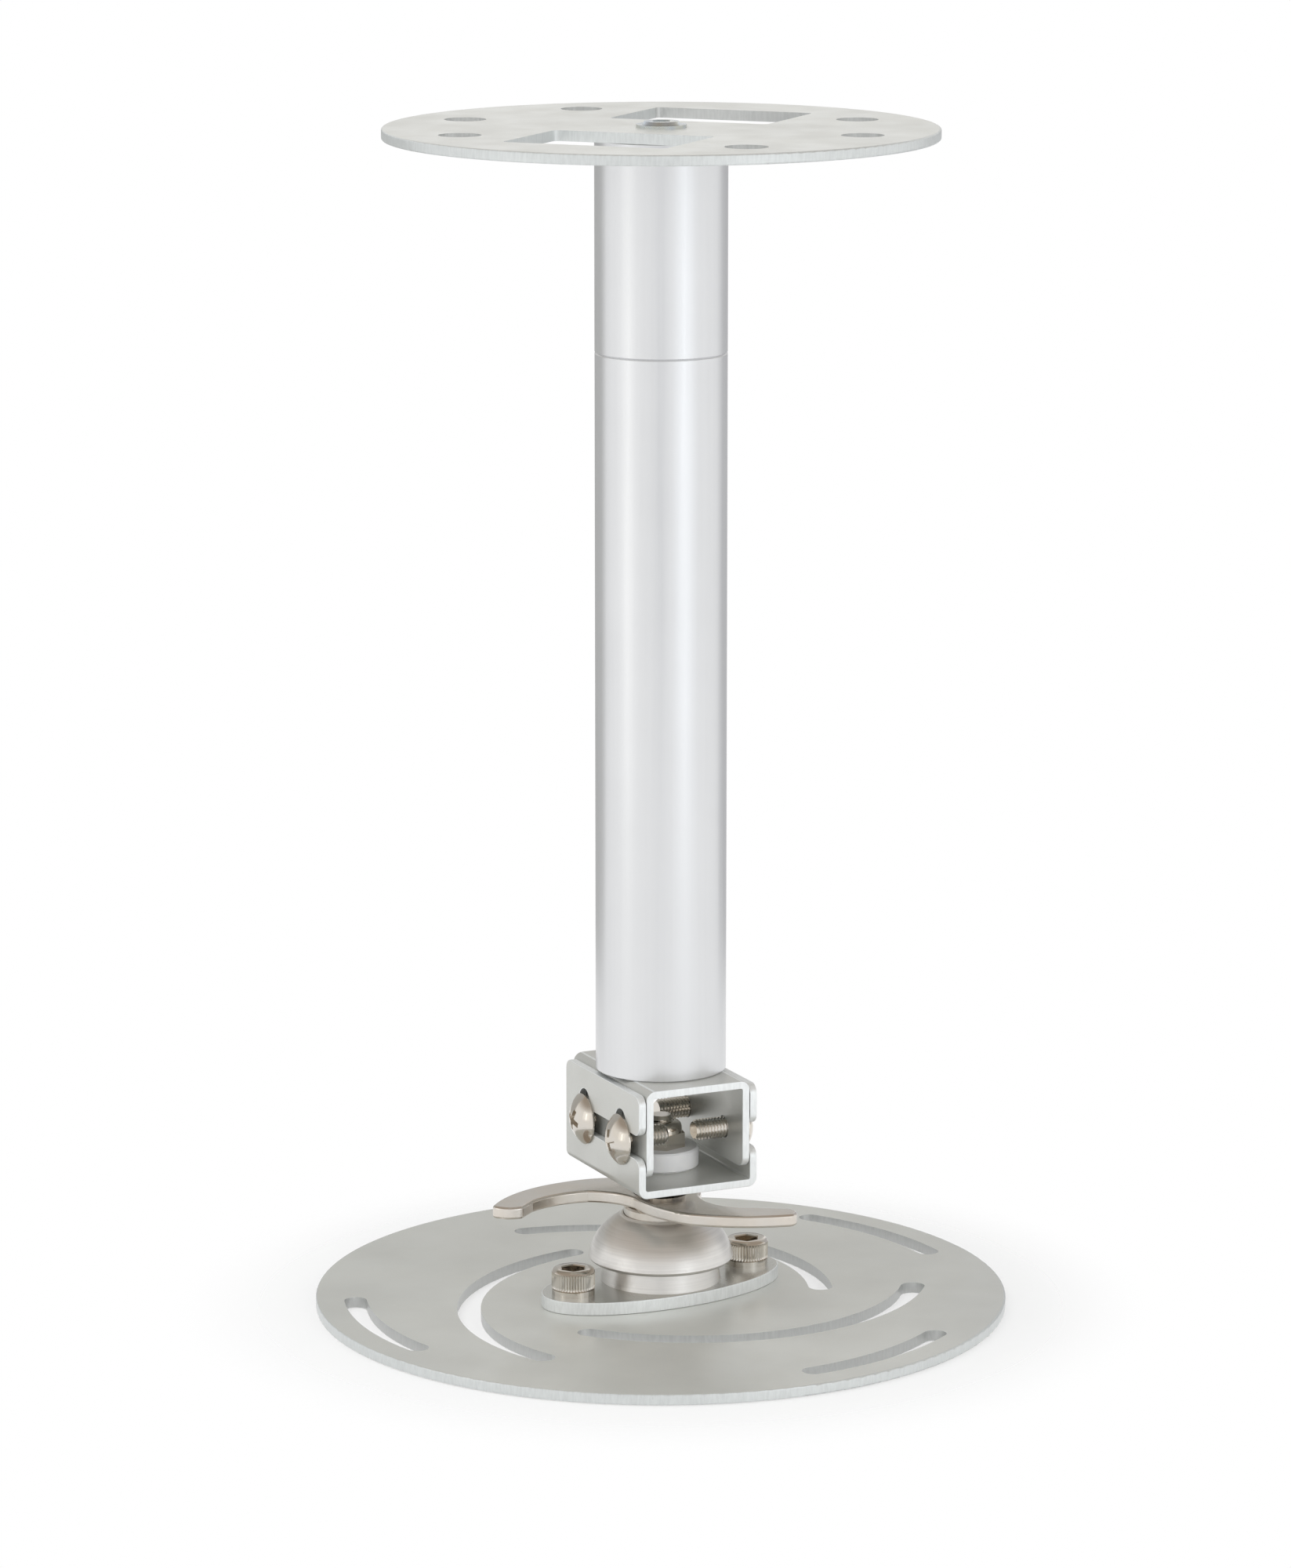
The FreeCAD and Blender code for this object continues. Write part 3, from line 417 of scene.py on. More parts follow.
def turned(profile, segments):
    """A closed mesh turned round Z from (radius, height) points, bottom to top."""
    work = bmesh.new()
    rows = []
    for radius, height in profile:
        if radius < ON_AXIS:
            rows.append([work.verts.new((0.0, 0.0, height))])
            continue
        row = []
        for step in range(segments):
            angle = 2.0 * math.pi * step / segments
            row.append(work.verts.new((radius * math.cos(angle), radius * math.sin(angle), height)))
        rows.append(row)
    for low, high in zip(rows, rows[1:]):
        for step in range(segments):
            after = (step + 1) % segments
            corners = []
            for vertex in (low[step % len(low)], low[after % len(low)], high[after % len(high)],
                           high[step % len(high)]):
                if vertex not in corners:
                    corners.append(vertex)
            work.faces.new(corners)
    return work


def lofted(outlines):
    """A closed mesh through outlines of equally many points, capped at both ends."""
    work = bmesh.new()
    rows = [[work.verts.new(point) for point in outline] for outline in outlines]
    count = len(rows[0])
    for low, high in zip(rows, rows[1:]):
        for step in range(count):
            after = (step + 1) % count
            work.faces.new((low[step], low[after], high[after], high[step]))
    work.faces.new(reversed(rows[0]))
    work.faces.new(rows[-1])
    return work


def to_mesh(work, name):
    bmesh.ops.recalc_face_normals(work, faces=work.faces[:])
    mesh = bpy.data.meshes.new(name)
    work.to_mesh(mesh)
    work.free()
    return mesh


def cut(piece, tool_mesh):
    """Takes a tool's shape out of a piece."""
    tool = new_object(f"{piece.name}_tool", tool_mesh)
    modifier = piece.modifiers.new("recess", "BOOLEAN")
    modifier.operation = "DIFFERENCE"
    modifier.solver = "EXACT"
    modifier.object = tool
    settle(piece)
    bpy.data.objects.remove(tool)


# Geometry node trees

ROD_SIDES = 40
ROWS_PER_TURN = 12.0
GROOVE_SHARE = 0.5  # depth of a thread's groove, as a share of its pitch
END_TAPER = 0.7  # how far a thread's end draws in over its last turn, as a share of the pitch
HEAD_ROLL = 0.5  # how far a side screw may be turned either way, in radians


class Tree:
    """A geometry node tree that takes a mesh, named numbers and a material, and short ways to add to it."""

    def __init__(self, name, numbers):
        self.tree = bpy.data.node_groups.new(name, "GeometryNodeTree")
        self.ids = {}
        face = self.tree.interface
        face.new_socket("Geometry", in_out="INPUT", socket_type="NodeSocketGeometry")
        for label, kind in (*((label, "Float") for label in numbers), ("Material", "Material")):
            socket = face.new_socket(label, in_out="INPUT", socket_type=f"NodeSocket{kind}")
            self.ids[label] = socket.identifier
        face.new_socket("Geometry", in_out="OUTPUT", socket_type="NodeSocketGeometry")
        self.entry = self.tree.nodes.new("NodeGroupInput").outputs
        self.exit = self.tree.nodes.new("NodeGroupOutput").inputs

    def add(self, kind, settings=None, **sockets):
        node = self.tree.nodes.new(kind)
        for name, value in (settings or {}).items():
            setattr(node, name, value)
        for name, value in sockets.items():
            self.feed(node.inputs[name.replace("_", " ")], value)
        return node

    def feed(self, socket, value):
        if isinstance(value, bpy.types.NodeSocket):
            self.tree.links.new(value, socket)
        else:
            socket.default_value = value

    def maths(self, operation, first, second=0.0):
        node = self.tree.nodes.new("ShaderNodeMath")
        node.operation = operation
        self.feed(node.inputs[0], first)
        self.feed(node.inputs[1], second)
        return node.outputs["Value"]

    def parts_of_position(self):
        position = self.add("GeometryNodeInputPosition").outputs["Position"]
        return self.add("ShaderNodeSeparateXYZ", Vector=position).outputs

    def joined(self, *geometries):
        node = self.add("GeometryNodeJoinGeometry")
        for geometry in geometries:
            self.tree.links.new(geometry, node.inputs["Geometry"])
        return node.outputs["Geometry"]

    def pushed_out(self, geometry, distance):
        """Moves points straight away from the Z axis by a distance."""
        x, y, _ = self.parts_of_position()
        flat = self.add("ShaderNodeCombineXYZ", X=x, Y=y).outputs["Vector"]
        unit = self.add("ShaderNodeVectorMath", {"operation": "NORMALIZE"})
        self.feed(unit.inputs[0], flat)
        scaled = self.add("ShaderNodeVectorMath", {"operation": "SCALE"}, Scale=distance)
        self.feed(scaled.inputs[0], unit.outputs["Vector"])
        moved = self.add("GeometryNodeSetPosition", Geometry=geometry, Offset=scaled.outputs["Vector"])
        return moved.outputs["Geometry"]

    def turn_share(self):
        """The angle round Z, as a share of a full turn."""
        x, y, _ = self.parts_of_position()
        return self.maths("DIVIDE", self.maths("ARCTAN2", y, x), 2.0 * math.pi)

    def peak(self, phase):
        """A wave from 0 up to 1 and back over each whole number."""
        part = self.maths("FRACT", phase)
        return self.maths("ABSOLUTE", self.maths("SUBTRACT", self.maths("MULTIPLY", part, 2.0), 1.0))

    def thread(self, diameter, pitch, length):
        """A threaded rod of that length with tapered ends, from the origin down."""
        radius = self.maths("MULTIPLY", diameter, 0.5)
        rows = self.maths("MULTIPLY", self.maths("DIVIDE", length, pitch), ROWS_PER_TURN)
        rod = self.add("GeometryNodeMeshCylinder", {"fill_type": "NGON"}, Vertices=ROD_SIDES,
                       Side_Segments=rows, Radius=radius, Depth=length).outputs["Mesh"]
        _, _, z = self.parts_of_position()
        wave = self.peak(self.maths("SUBTRACT", self.maths("DIVIDE", z, pitch), self.turn_share()))
        groove = self.maths("MULTIPLY", wave, self.maths("MULTIPLY", pitch, -GROOVE_SHARE))
        straight = self.maths("SUBTRACT", self.maths("MULTIPLY", length, 0.5), pitch)
        past = self.maths("SUBTRACT", self.maths("ABSOLUTE", z), straight)
        taper = self.maths("MULTIPLY", self.maths("MAXIMUM", past, 0.0), -END_TAPER)
        cut_rod = self.pushed_out(rod, self.maths("MINIMUM", groove, taper))
        drop = self.add("ShaderNodeCombineXYZ", Z=self.maths("MULTIPLY", length, -0.5)).outputs["Vector"]
        return self.add("GeometryNodeTransform", Geometry=cut_rod, Translation=drop).outputs["Geometry"]

    def finish(self, geometry):
        real = self.add("GeometryNodeRealizeInstances", Geometry=geometry).outputs["Geometry"]
        coated = self.add("GeometryNodeSetMaterial", Geometry=real, Material=self.entry["Material"])
        self.tree.links.new(coated.outputs["Geometry"], self.exit["Geometry"])

    def apply(self, piece, values):
        """Runs the tree on a piece and leaves the result as its plain mesh."""
        modifier = piece.modifiers.new(self.tree.name, "NODES")
        modifier.node_group = self.tree
        for label, value in values.items():
            modifier[self.ids[label]] = value
        settle(piece)


def side_screw_tree():
    """Four screws: a head and its thread at the corners of a grid, facing out along X."""
    tree = Tree("side_screws", ("Thread", "Pitch", "Length", "Across", "Along", "Level"))
    entry = tree.entry
    screw = tree.joined(entry["Geometry"], tree.thread(entry["Thread"], entry["Pitch"], entry["Length"]))
    corners = tree.add("GeometryNodeMeshGrid", Size_X=entry["Across"], Size_Y=entry["Along"], Vertices_X=2,
                       Vertices_Y=2).outputs["Mesh"]
    x, _, _ = tree.parts_of_position()
    lean = tree.maths("MULTIPLY", tree.maths("SIGN", x), math.pi / 2.0)
    facing = tree.add("ShaderNodeCombineXYZ", Y=lean).outputs["Vector"]
    placed = tree.add("GeometryNodeInstanceOnPoints", Points=corners, Instance=screw, Rotation=facing)
    roll = tree.add("FunctionNodeRandomValue", {"data_type": "FLOAT"}, Seed=4)
    tree.feed(roll.inputs[2], -HEAD_ROLL)
    tree.feed(roll.inputs[3], HEAD_ROLL)
    rolled = tree.add("GeometryNodeRotateInstances", Instances=placed.outputs["Instances"])
    spin = tree.add("ShaderNodeCombineXYZ", Z=roll.outputs[1]).outputs["Vector"]
    tree.feed(rolled.inputs["Rotation"], spin)
    lift = tree.add("ShaderNodeCombineXYZ", Z=entry["Level"]).outputs["Vector"]
    raised = tree.add("GeometryNodeTransform", Geometry=rolled.outputs["Instances"], Translation=lift)
    tree.finish(raised.outputs["Geometry"])
    return tree


def cap_screw_tree():
    """Two screws: a head with its knurl and its thread at both ends of a turned line."""
    tree = Tree("cap_screws", ("Thread", "Pitch", "Length", "Apart", "Turn", "Level", "Grooves",
                               "Groove depth", "Knurl bottom", "Knurl top", "Knurl radius"))
    entry = tree.entry
    x, y, z = tree.parts_of_position()
    reach = tree.maths("SQRT", tree.maths("ADD", tree.maths("MULTIPLY", x, x), tree.maths("MULTIPLY", y, y)))
    banded = tree.maths("MULTIPLY", tree.maths("GREATER_THAN", reach, entry["Knurl radius"]),
                        tree.maths("MULTIPLY", tree.maths("GREATER_THAN", z, entry["Knurl bottom"]),
                                   tree.maths("LESS_THAN", z, entry["Knurl top"])))
    wave = tree.peak(tree.maths("MULTIPLY", tree.turn_share(), entry["Grooves"]))
    inward = tree.maths("MULTIPLY", tree.maths("MULTIPLY", wave, entry["Groove depth"]), -1.0)
    head = tree.pushed_out(entry["Geometry"], tree.maths("MULTIPLY", inward, banded))
    screw = tree.joined(head, tree.thread(entry["Thread"], entry["Pitch"], entry["Length"]))
    half = tree.maths("MULTIPLY", entry["Apart"], 0.5)
    start = tree.add("ShaderNodeCombineXYZ", X=tree.maths("MULTIPLY", half, -1.0)).outputs["Vector"]
    end = tree.add("ShaderNodeCombineXYZ", X=half).outputs["Vector"]
    line = tree.add("GeometryNodeMeshLine", {"mode": "END_POINTS"}, Count=2)
    tree.feed(line.inputs["Start Location"], start)
    tree.feed(line.inputs["Offset"], end)
    placed = tree.add("GeometryNodeInstanceOnPoints", Points=line.outputs["Mesh"], Instance=screw)
    turn = tree.add("ShaderNodeCombineXYZ", Z=entry["Turn"]).outputs["Vector"]
    lift = tree.add("ShaderNodeCombineXYZ", Z=entry["Level"]).outputs["Vector"]
    set_down = tree.add("GeometryNodeTransform", Geometry=placed.outputs["Instances"], Translation=lift)
    tree.feed(set_down.inputs["Rotation"], turn)
    tree.finish(set_down.outputs["Geometry"])
    return tree


def stud_tree():
    """A thread on the end of the stud that it is given."""
    tree = Tree("stud_thread", ("Thread", "Pitch", "Length", "Level"))
    entry = tree.entry
    rod = tree.thread(entry["Thread"], entry["Pitch"], entry["Length"])
    lift = tree.add("ShaderNodeCombineXYZ", Z=entry["Level"]).outputs["Vector"]
    raised = tree.add("GeometryNodeTransform", Geometry=rod, Translation=lift).outputs["Geometry"]
    tree.finish(tree.joined(entry["Geometry"], raised))
    return tree


# Pieces

# The third face kind is the walls of slots and holes, coloured darker as painted shade.
PAINTED, EDGE, WALL_SHADE = range(3)
SAME_POINT = 1e-6
FLAT_ANGLE = math.radians(0.5)
BREAK_ANGLE = math.radians(40.0)
LEVEL_FACE = 0.94  # a face whose normal rises more than this is the painted face of a plate
LEG_DEPTH = 2.3 * MM  # a bracket's legs, from their outside in


def softened(node, face_kind, coat, edge):
    """A sheet piece copied from its node, with broken edges; its cut faces take the edge finish given, which
    on the brackets and flange is lighter partly as painted highlight, and the walls of slots and holes a
    darker colour that is painted shade.
    """
    name = f"{node}_sheet"
    work = bmesh.new()
    work.from_mesh(frame["nodes"][node].data)
    bmesh.ops.remove_doubles(work, verts=work.verts[:], dist=SAME_POINT)
    bmesh.ops.dissolve_limit(work, angle_limit=FLAT_ANGLE, verts=work.verts[:], edges=work.edges[:],
                             use_dissolve_boundaries=False)
    for face in work.faces:
        face.material_index = face_kind(face.normal, face.calc_center_median())
    mesh = bpy.data.meshes.new(name)
    work.to_mesh(mesh)
    work.free()
    if "custom_normal" in mesh.attributes:
        mesh.attributes.remove(mesh.attributes["custom_normal"])
    # The third material is the slot walls' darker colour, which is painted shade.
    for slot in (coat, edge, "painted_slot_shade"):
        mesh.materials.append(finishes()[slot])
    mesh.shade_smooth()
    piece = new_object(name, mesh)
    bevel = piece.modifiers.new("edge_break", "BEVEL")
    bevel.width = bpy.context.scene.mount_sizes.edge_break
    bevel.segments = 2
    bevel.limit_method = "ANGLE"
    bevel.angle_limit = BREAK_ANGLE
    # The broken edges take the edge colour, which on the brackets and flange is partly painted highlight.
    bevel.material = EDGE
    even = piece.modifiers.new("even_shading", "WEIGHTED_NORMAL")
    even.keep_sharp = True
    low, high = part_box(node)
    for vertex in settle(piece).vertices:
        for axis in range(3):
            vertex.co[axis] = min(max(vertex.co[axis], low[axis]), high[axis])
    place(piece, node, "silver_paint")


class MOUNT_OT_plates(bpy.types.Operator):
    """Makes the ceiling plate, the projector plate and the oval flange"""
    bl_idname = "mount.plates"
    bl_label = "Plates"

    def execute(self, context):
        for node, coat, edge, holes_from, holes_to in (
                ("ceiling_plate", "silver_paint", "plate_edge", 42.0 * MM, 55.0 * MM),
                ("projector_plate", "silver_paint", "plate_edge", 0.0, 77.0 * MM),
                ("flange_plate", "flange_face", "sheared_edge", 0.0, 0.0)):

            def face_kind(normal, centre):
                if abs(normal.z) > LEVEL_FACE:
                    return PAINTED
                # Walls of slots and holes take the darker colour that is painted shade; other cut faces take
                # the edge colour.
                return WALL_SHADE if holes_from < math.hypot(centre.x, centre.y) < holes_to else EDGE

            softened(node, face_kind, coat, edge)
        return {"FINISHED"}


class MOUNT_OT_brackets(bpy.types.Operator):
    """Makes the two folded brackets"""
    bl_idname = "mount.brackets"
    bl_label = "Brackets"

    def execute(self, context):
        for node in ("upper_bracket", "lower_bracket"):
            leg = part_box(node)[1][0] - LEG_DEPTH

            def face_kind(normal, centre):
                is_leg_end = abs(centre.x) > leg and abs(normal.x) < 0.3
                # The bracket's cut ends and leg ends take the light edge colour, partly painted highlight.
                return EDGE if is_leg_end or abs(normal.y) > 0.6 else PAINTED

            softened(node, face_kind, "bracket_face", "sheared_edge")
        return {"FINISHED"}


class MOUNT_OT_tubes(bpy.types.Operator):
    """Finishes the two tubes and what is inside them"""
    bl_idname = "mount.tubes"
    bl_label = "Tubes"

    def execute(self, context):
        finish_nodes("satin_tube", "upper_tube", "lower_tube")
        finish_nodes("zinc_plate", "top_plug", "bottom_plug", "tube_coupler", "ceiling_bolt", "bracket_bolt",
                     "bracket_washer")
        return {"FINISHED"}


class MOUNT_OT_ball_joint(bpy.types.Operator):
    """Finishes the dome, its ring and lever, and the swivel"""
    bl_idname = "mount.ball_joint"
    bl_label = "Ball joint"

    def execute(self, context):
        finish_nodes("turned_aluminium", "ball_housing")
        finish_nodes("satin_nickel", "clamp_ring", "clamp_lever")
        finish_nodes("nickel_plate", "swivel_nut", "spring_washers")
        finish_nodes("white_nylon", "thrust_washer", "swivel_bush", "ball_liner", "ball_seat")
        return {"FINISHED"}


class MOUNT_OT_ball_stud(bpy.types.Operator):
    """Makes the ball and its stud, threaded where the lock nut sits"""
    bl_idname = "mount.ball_stud"
    bl_label = "Ball stud"

    def execute(self, context):
        sizes = context.scene.mount_sizes
        low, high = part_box("ball_stud")
        ball = (high[0] - low[0]) / 2.0
        shank = sizes.stud_thread / 2.0
        centre = low[2] + ball
        collar = 6.0 * MM
        bevel = 0.2 * MM
        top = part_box("thrust_washer")[0][2]
        bottom = top - 1.7 * MM
        thread_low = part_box("swivel_bush")[0][2]
        start = math.asin(shank / ball)
        steps = 40
        profile = [(0.0, low[2])]
        for step in range(1, steps + 1):
            angle = math.pi - (math.pi - start) * step / steps
            profile.append((ball * math.sin(angle), centre + ball * math.cos(angle)))
        profile += [(shank, bottom), (collar - bevel, bottom), (collar, bottom + bevel), (collar, top),
                    (shank, top), (shank, thread_low), (0.0, thread_low)]
        piece = new_object("ball_stud_turned", to_mesh(turned(profile, 64), "ball_stud_turned"))
        stud_tree().apply(piece, {"Thread": 2.0 * shank, "Pitch": sizes.stud_pitch,
                                  "Length": high[2] - thread_low, "Level": high[2],
                                  "Material": finishes()["nickel_plate"]})
        place(piece, "ball_stud", "nickel_plate")
        return {"FINISHED"}


class MOUNT_OT_side_screws(bpy.types.Operator):
    """Makes the four domed side screws with their cross recesses and threads"""
    bl_idname = "mount.side_screws"
    bl_label = "Side screws"

    def execute(self, context):
        sizes = context.scene.mount_sizes
        low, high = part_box("side_screws")
        radius = sizes.side_head / 2.0
        edge = sizes.side_head_edge
        rise = sizes.side_head_height - edge
        bevel = 0.15 * MM
        profile = [(0.0, 0.0), (radius - bevel, 0.0), (radius, bevel), (radius, edge)]
        sphere = (radius * radius + rise * rise) / (2.0 * rise)
        steps = 12
        for step in range(1, steps + 1):
            reach = radius * (1.0 - step / steps)
            profile.append((reach, edge + rise - sphere + math.sqrt(sphere * sphere - reach * reach)))
        piece = new_object("side_screws_domed", to_mesh(turned(profile, 72), "side_screws_domed"))
        top = sizes.side_head_height
        outlines = []
        for height, span, width in ((top - sizes.recess_depth, 0.42, 0.62), (top - 0.25 * MM, 0.94, 0.96),
                                    (top + 0.6 * MM, 1.06, 1.08)):
            tip = sizes.recess_span / 2.0 * span
            arm = sizes.recess_width / 2.0 * width
            flat = ((tip, -arm), (tip, arm), (arm, arm), (arm, tip), (-arm, tip), (-arm, arm), (-tip, arm),
                    (-tip, -arm), (-arm, -arm), (-arm, -tip), (arm, -tip), (arm, -arm))
            outlines.append([(x, y, height) for x, y in flat])
        cut(piece, to_mesh(lofted(outlines), "cross"))
        bearing = high[0] - sizes.side_head_height
        side_screw_tree().apply(piece, {
            "Thread": sizes.side_thread, "Pitch": sizes.side_pitch, "Length": sizes.side_length,
            "Across": 2.0 * bearing, "Along": high[1] - low[1] - sizes.side_head,
            "Level": (low[2] + high[2]) / 2.0, "Material": finishes()["nickel_plate"]})
        place(piece, "side_screws", "nickel_plate")
        return {"FINISHED"}


class MOUNT_OT_cap_screws(bpy.types.Operator):
    """Makes the two knurled cap screws with their hexagon sockets and threads"""
    bl_idname = "mount.cap_screws"
    bl_label = "Cap screws"

    def execute(self, context):
        sizes = context.scene.mount_sizes
        low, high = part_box("cap_screws")
        radius = sizes.cap_head / 2.0
        top = sizes.cap_head_height
        low_band = 0.35 * MM
        high_band = top - 0.75 * MM
        inset = 0.1 * MM
        steps = 6
        profile = [(0.0, 0.0), (radius - 0.3 * MM, 0.0), (radius - 0.05 * MM, 0.25 * MM)]
        for step in range(steps + 1):
            profile.append((radius, low_band + inset + (high_band - low_band - 2.0 * inset) * step / steps))
        profile += [(radius - 0.03 * MM, high_band + inset), (radius - 0.25 * MM, top - 0.2 * MM),
                    (radius - 0.6 * MM, top), (0.0, top)]
        points_per_groove = 4
        segments = sizes.knurl_count * points_per_groove
        piece = new_object("cap_screws_knurled", to_mesh(turned(profile, segments), "cap_screws_knurled"))
        corner_reach = sizes.socket_flats / 2.0 / math.cos(math.pi / 6.0)
        outlines = []
        for height, across in ((top - sizes.socket_depth - 1.0 * MM, 0.2), (top - sizes.socket_depth, 1.0),
                               (top - 0.25 * MM, 1.0), (top + 0.5 * MM, 1.3)):
            reach = corner_reach * across
            angles = [math.pi / 3.0 * corner for corner in range(6)]
            outlines.append([(reach * math.cos(angle), reach * math.sin(angle), height) for angle in angles])
        cut(piece, to_mesh(lofted(outlines), "hexagon"))
        level = high[2] - top
        across = high[0] - low[0] - sizes.cap_head
        along = high[1] - low[1] - sizes.cap_head
        cap_screw_tree().apply(piece, {
            "Thread": sizes.cap_thread, "Pitch": sizes.cap_pitch, "Length": level - low[2],
            "Apart": math.hypot(across, along), "Turn": math.atan2(along, across), "Level": level,
            "Grooves": float(sizes.knurl_count), "Groove depth": sizes.knurl_depth,
            "Knurl bottom": low_band, "Knurl top": high_band, "Knurl radius": radius * 0.97,
            "Material": finishes()["nickel_plate"]})
        place(piece, "cap_screws", "nickel_plate")
        return {"FINISHED"}


# Stage

FLOOR_LEVEL = -0.2 * MM
FLOOR_HALF = 0.12
BACKDROP_LEVEL = -0.04
BACKDROP_HALF = 4.0
PAPER = (0.93, 0.93, 0.93, 1.0)
SHADOW_FULL = 0.078  # the floor keeps its shadow to this far from the axis
SHADOW_GONE = 0.115
SHADOW_CLEAR = 0.58  # how clear the floor is inside that
DIP_REACH = 0.025  # how far below the floor a plate may dip
DIP_FREE = 0.8  # share of free space below the floor at which it starts to show
DIP_SAMPLES = 6
CEILING = (0.42, 0.37, 0.32, 1.0)
CEILING_FROM = 0.22  # rise of a direction, from 0 level to 1 straight up
CEILING_TO = 0.65
AIM = Vector((0.0, 0.0, 0.13))
SENSOR_WIDTH = 36.0

# Softboxes: azimuth in degrees, distance, height, and the width and height of the face
LEFT = (-84.0, 1.7, 0.55, 0.80, 1.6)
RIGHT = (16.0, 1.9, 0.60, 1.05, 1.6)
TOP = (-100.0, 0.7, 1.7, 1.4, 1.4)

# Cards in the gloss: brightness of each colour, azimuth in degrees, distance, width and height
CARDS = (
    ("left_card", (1.20, 1.20, 1.19), -84.0, 0.60, 0.28, 0.25),
    ("right_card", (1.28, 1.31, 1.34), 16.0, 0.60, 0.33, 0.25),
    ("left_core", (2.40, 2.38, 2.34), -84.0, 0.58, 0.03, 0.20),
    ("right_core", (2.40, 2.42, 2.46), 16.0, 0.58, 0.03, 0.20),
    ("left_flag", (0.49, 0.49, 0.48), -167.0, 0.33, 0.35, 0.30),
    ("back_flag", (0.52, 0.52, 0.51), 155.0, 0.80, 0.24, 0.30),
    ("right_flag", (0.54, 0.54, 0.55), 118.0, 0.33, 0.27, 0.30),
    ("front_flag", (0.655, 0.665, 0.69), -25.0, 0.90, 0.26, 0.18),
)


def combined(nodes, links, operation, first, second):
    """A maths node on two sockets."""
    node = nodes.new("ShaderNodeMath")
    node.operation = operation
    links.new(first, node.inputs[0])
    links.new(second, node.inputs[1])
    return node.outputs["Value"]


def light_path_white(nodes, links):
    """One for camera, glossy and transmission rays, nought for the others."""
    path = nodes.new("ShaderNodeLightPath").outputs
    seen = combined(nodes, links, "MAXIMUM", path["Is Camera Ray"], path["Is Glossy Ray"])
    return combined(nodes, links, "MAXIMUM", seen, path["Is Transmission Ray"])


def floor_sheet(name, material, half, level):
    """A square flat sheet of the stage."""
    mesh = bpy.data.meshes.new(name)
    mesh.from_pydata([(-half, -half, 0.0), (half, -half, 0.0), (half, half, 0.0), (-half, half, 0.0)], [],
                     [(0, 1, 2, 3)])
    mesh.materials.append(material)
    sheet = new_object(name, mesh)
    sheet.location.z = level


def paper_material(name, front):
    """White paper for shading; front(nodes, links) gives what is seen instead, and its share."""
    material = bpy.data.materials.new(name)
    material.use_nodes = True
    nodes = material.node_tree.nodes
    links = material.node_tree.links
    nodes.clear()
    paper = nodes.new("ShaderNodeBsdfDiffuse")
    paper.inputs["Color"].default_value = PAPER
    shown, seen = front(nodes, links)
    mix = nodes.new("ShaderNodeMixShader")
    links.new(seen, mix.inputs[0])
    links.new(paper.outputs["BSDF"], mix.inputs[1])
    links.new(shown, mix.inputs[2])
    out = nodes.new("ShaderNodeOutputMaterial")
    links.new(mix.outputs["Shader"], out.inputs["Surface"])
    return material


def clear_front(nodes, links):
    """Clear paper that keeps the mount's shadow close round it, unless a plate has dipped below it."""
    coords = nodes.new("ShaderNodeTexCoord")
    reach = nodes.new("ShaderNodeVectorMath")
    reach.operation = "LENGTH"
    links.new(coords.outputs["Object"], reach.inputs[0])
    fade = nodes.new("ShaderNodeMapRange")
    fade.interpolation_type = "SMOOTHSTEP"
    fade.inputs["From Min"].default_value = SHADOW_FULL
    fade.inputs["From Max"].default_value = SHADOW_GONE
    fade.inputs["To Min"].default_value = SHADOW_CLEAR
    links.new(reach.outputs["Value"], fade.inputs["Value"])
    below = nodes.new("ShaderNodeAmbientOcclusion")
    below.inside = True
    below.samples = DIP_SAMPLES
    below.inputs["Distance"].default_value = DIP_REACH
    free = nodes.new("ShaderNodeMapRange")
    free.inputs["From Min"].default_value = DIP_FREE
    links.new(below.outputs["AO"], free.inputs["Value"])
    clear = nodes.new("ShaderNodeMix")
    clear.inputs[2].default_value = 1.0
    links.new(free.outputs["Result"], clear.inputs["Factor"])
    links.new(fade.outputs["Result"], clear.inputs[3])
    seen = combined(nodes, links, "MULTIPLY", clear.outputs[0], light_path_white(nodes, links))
    for source, output in (("ShaderNodeLightPath", "Is Shadow Ray"), ("ShaderNodeNewGeometry", "Backfacing")):
        seen = combined(nodes, links, "MAXIMUM", seen, nodes.new(source).outputs[output])
    return nodes.new("ShaderNodeBsdfTransparent").outputs["BSDF"], seen


def white_front(nodes, links):
    """White where it is seen."""
    return nodes.new("ShaderNodeEmission").outputs["Emission"], light_path_white(nodes, links)


def studio_floor():
    """A thin floor at the mount's foot over a white one, low enough to clear the tilted plate."""
    floor_sheet("floor", paper_material("studio_floor", clear_front), FLOOR_HALF, FLOOR_LEVEL)
    floor_sheet("backdrop", paper_material("studio_backdrop", white_front), BACKDROP_HALF, BACKDROP_LEVEL)


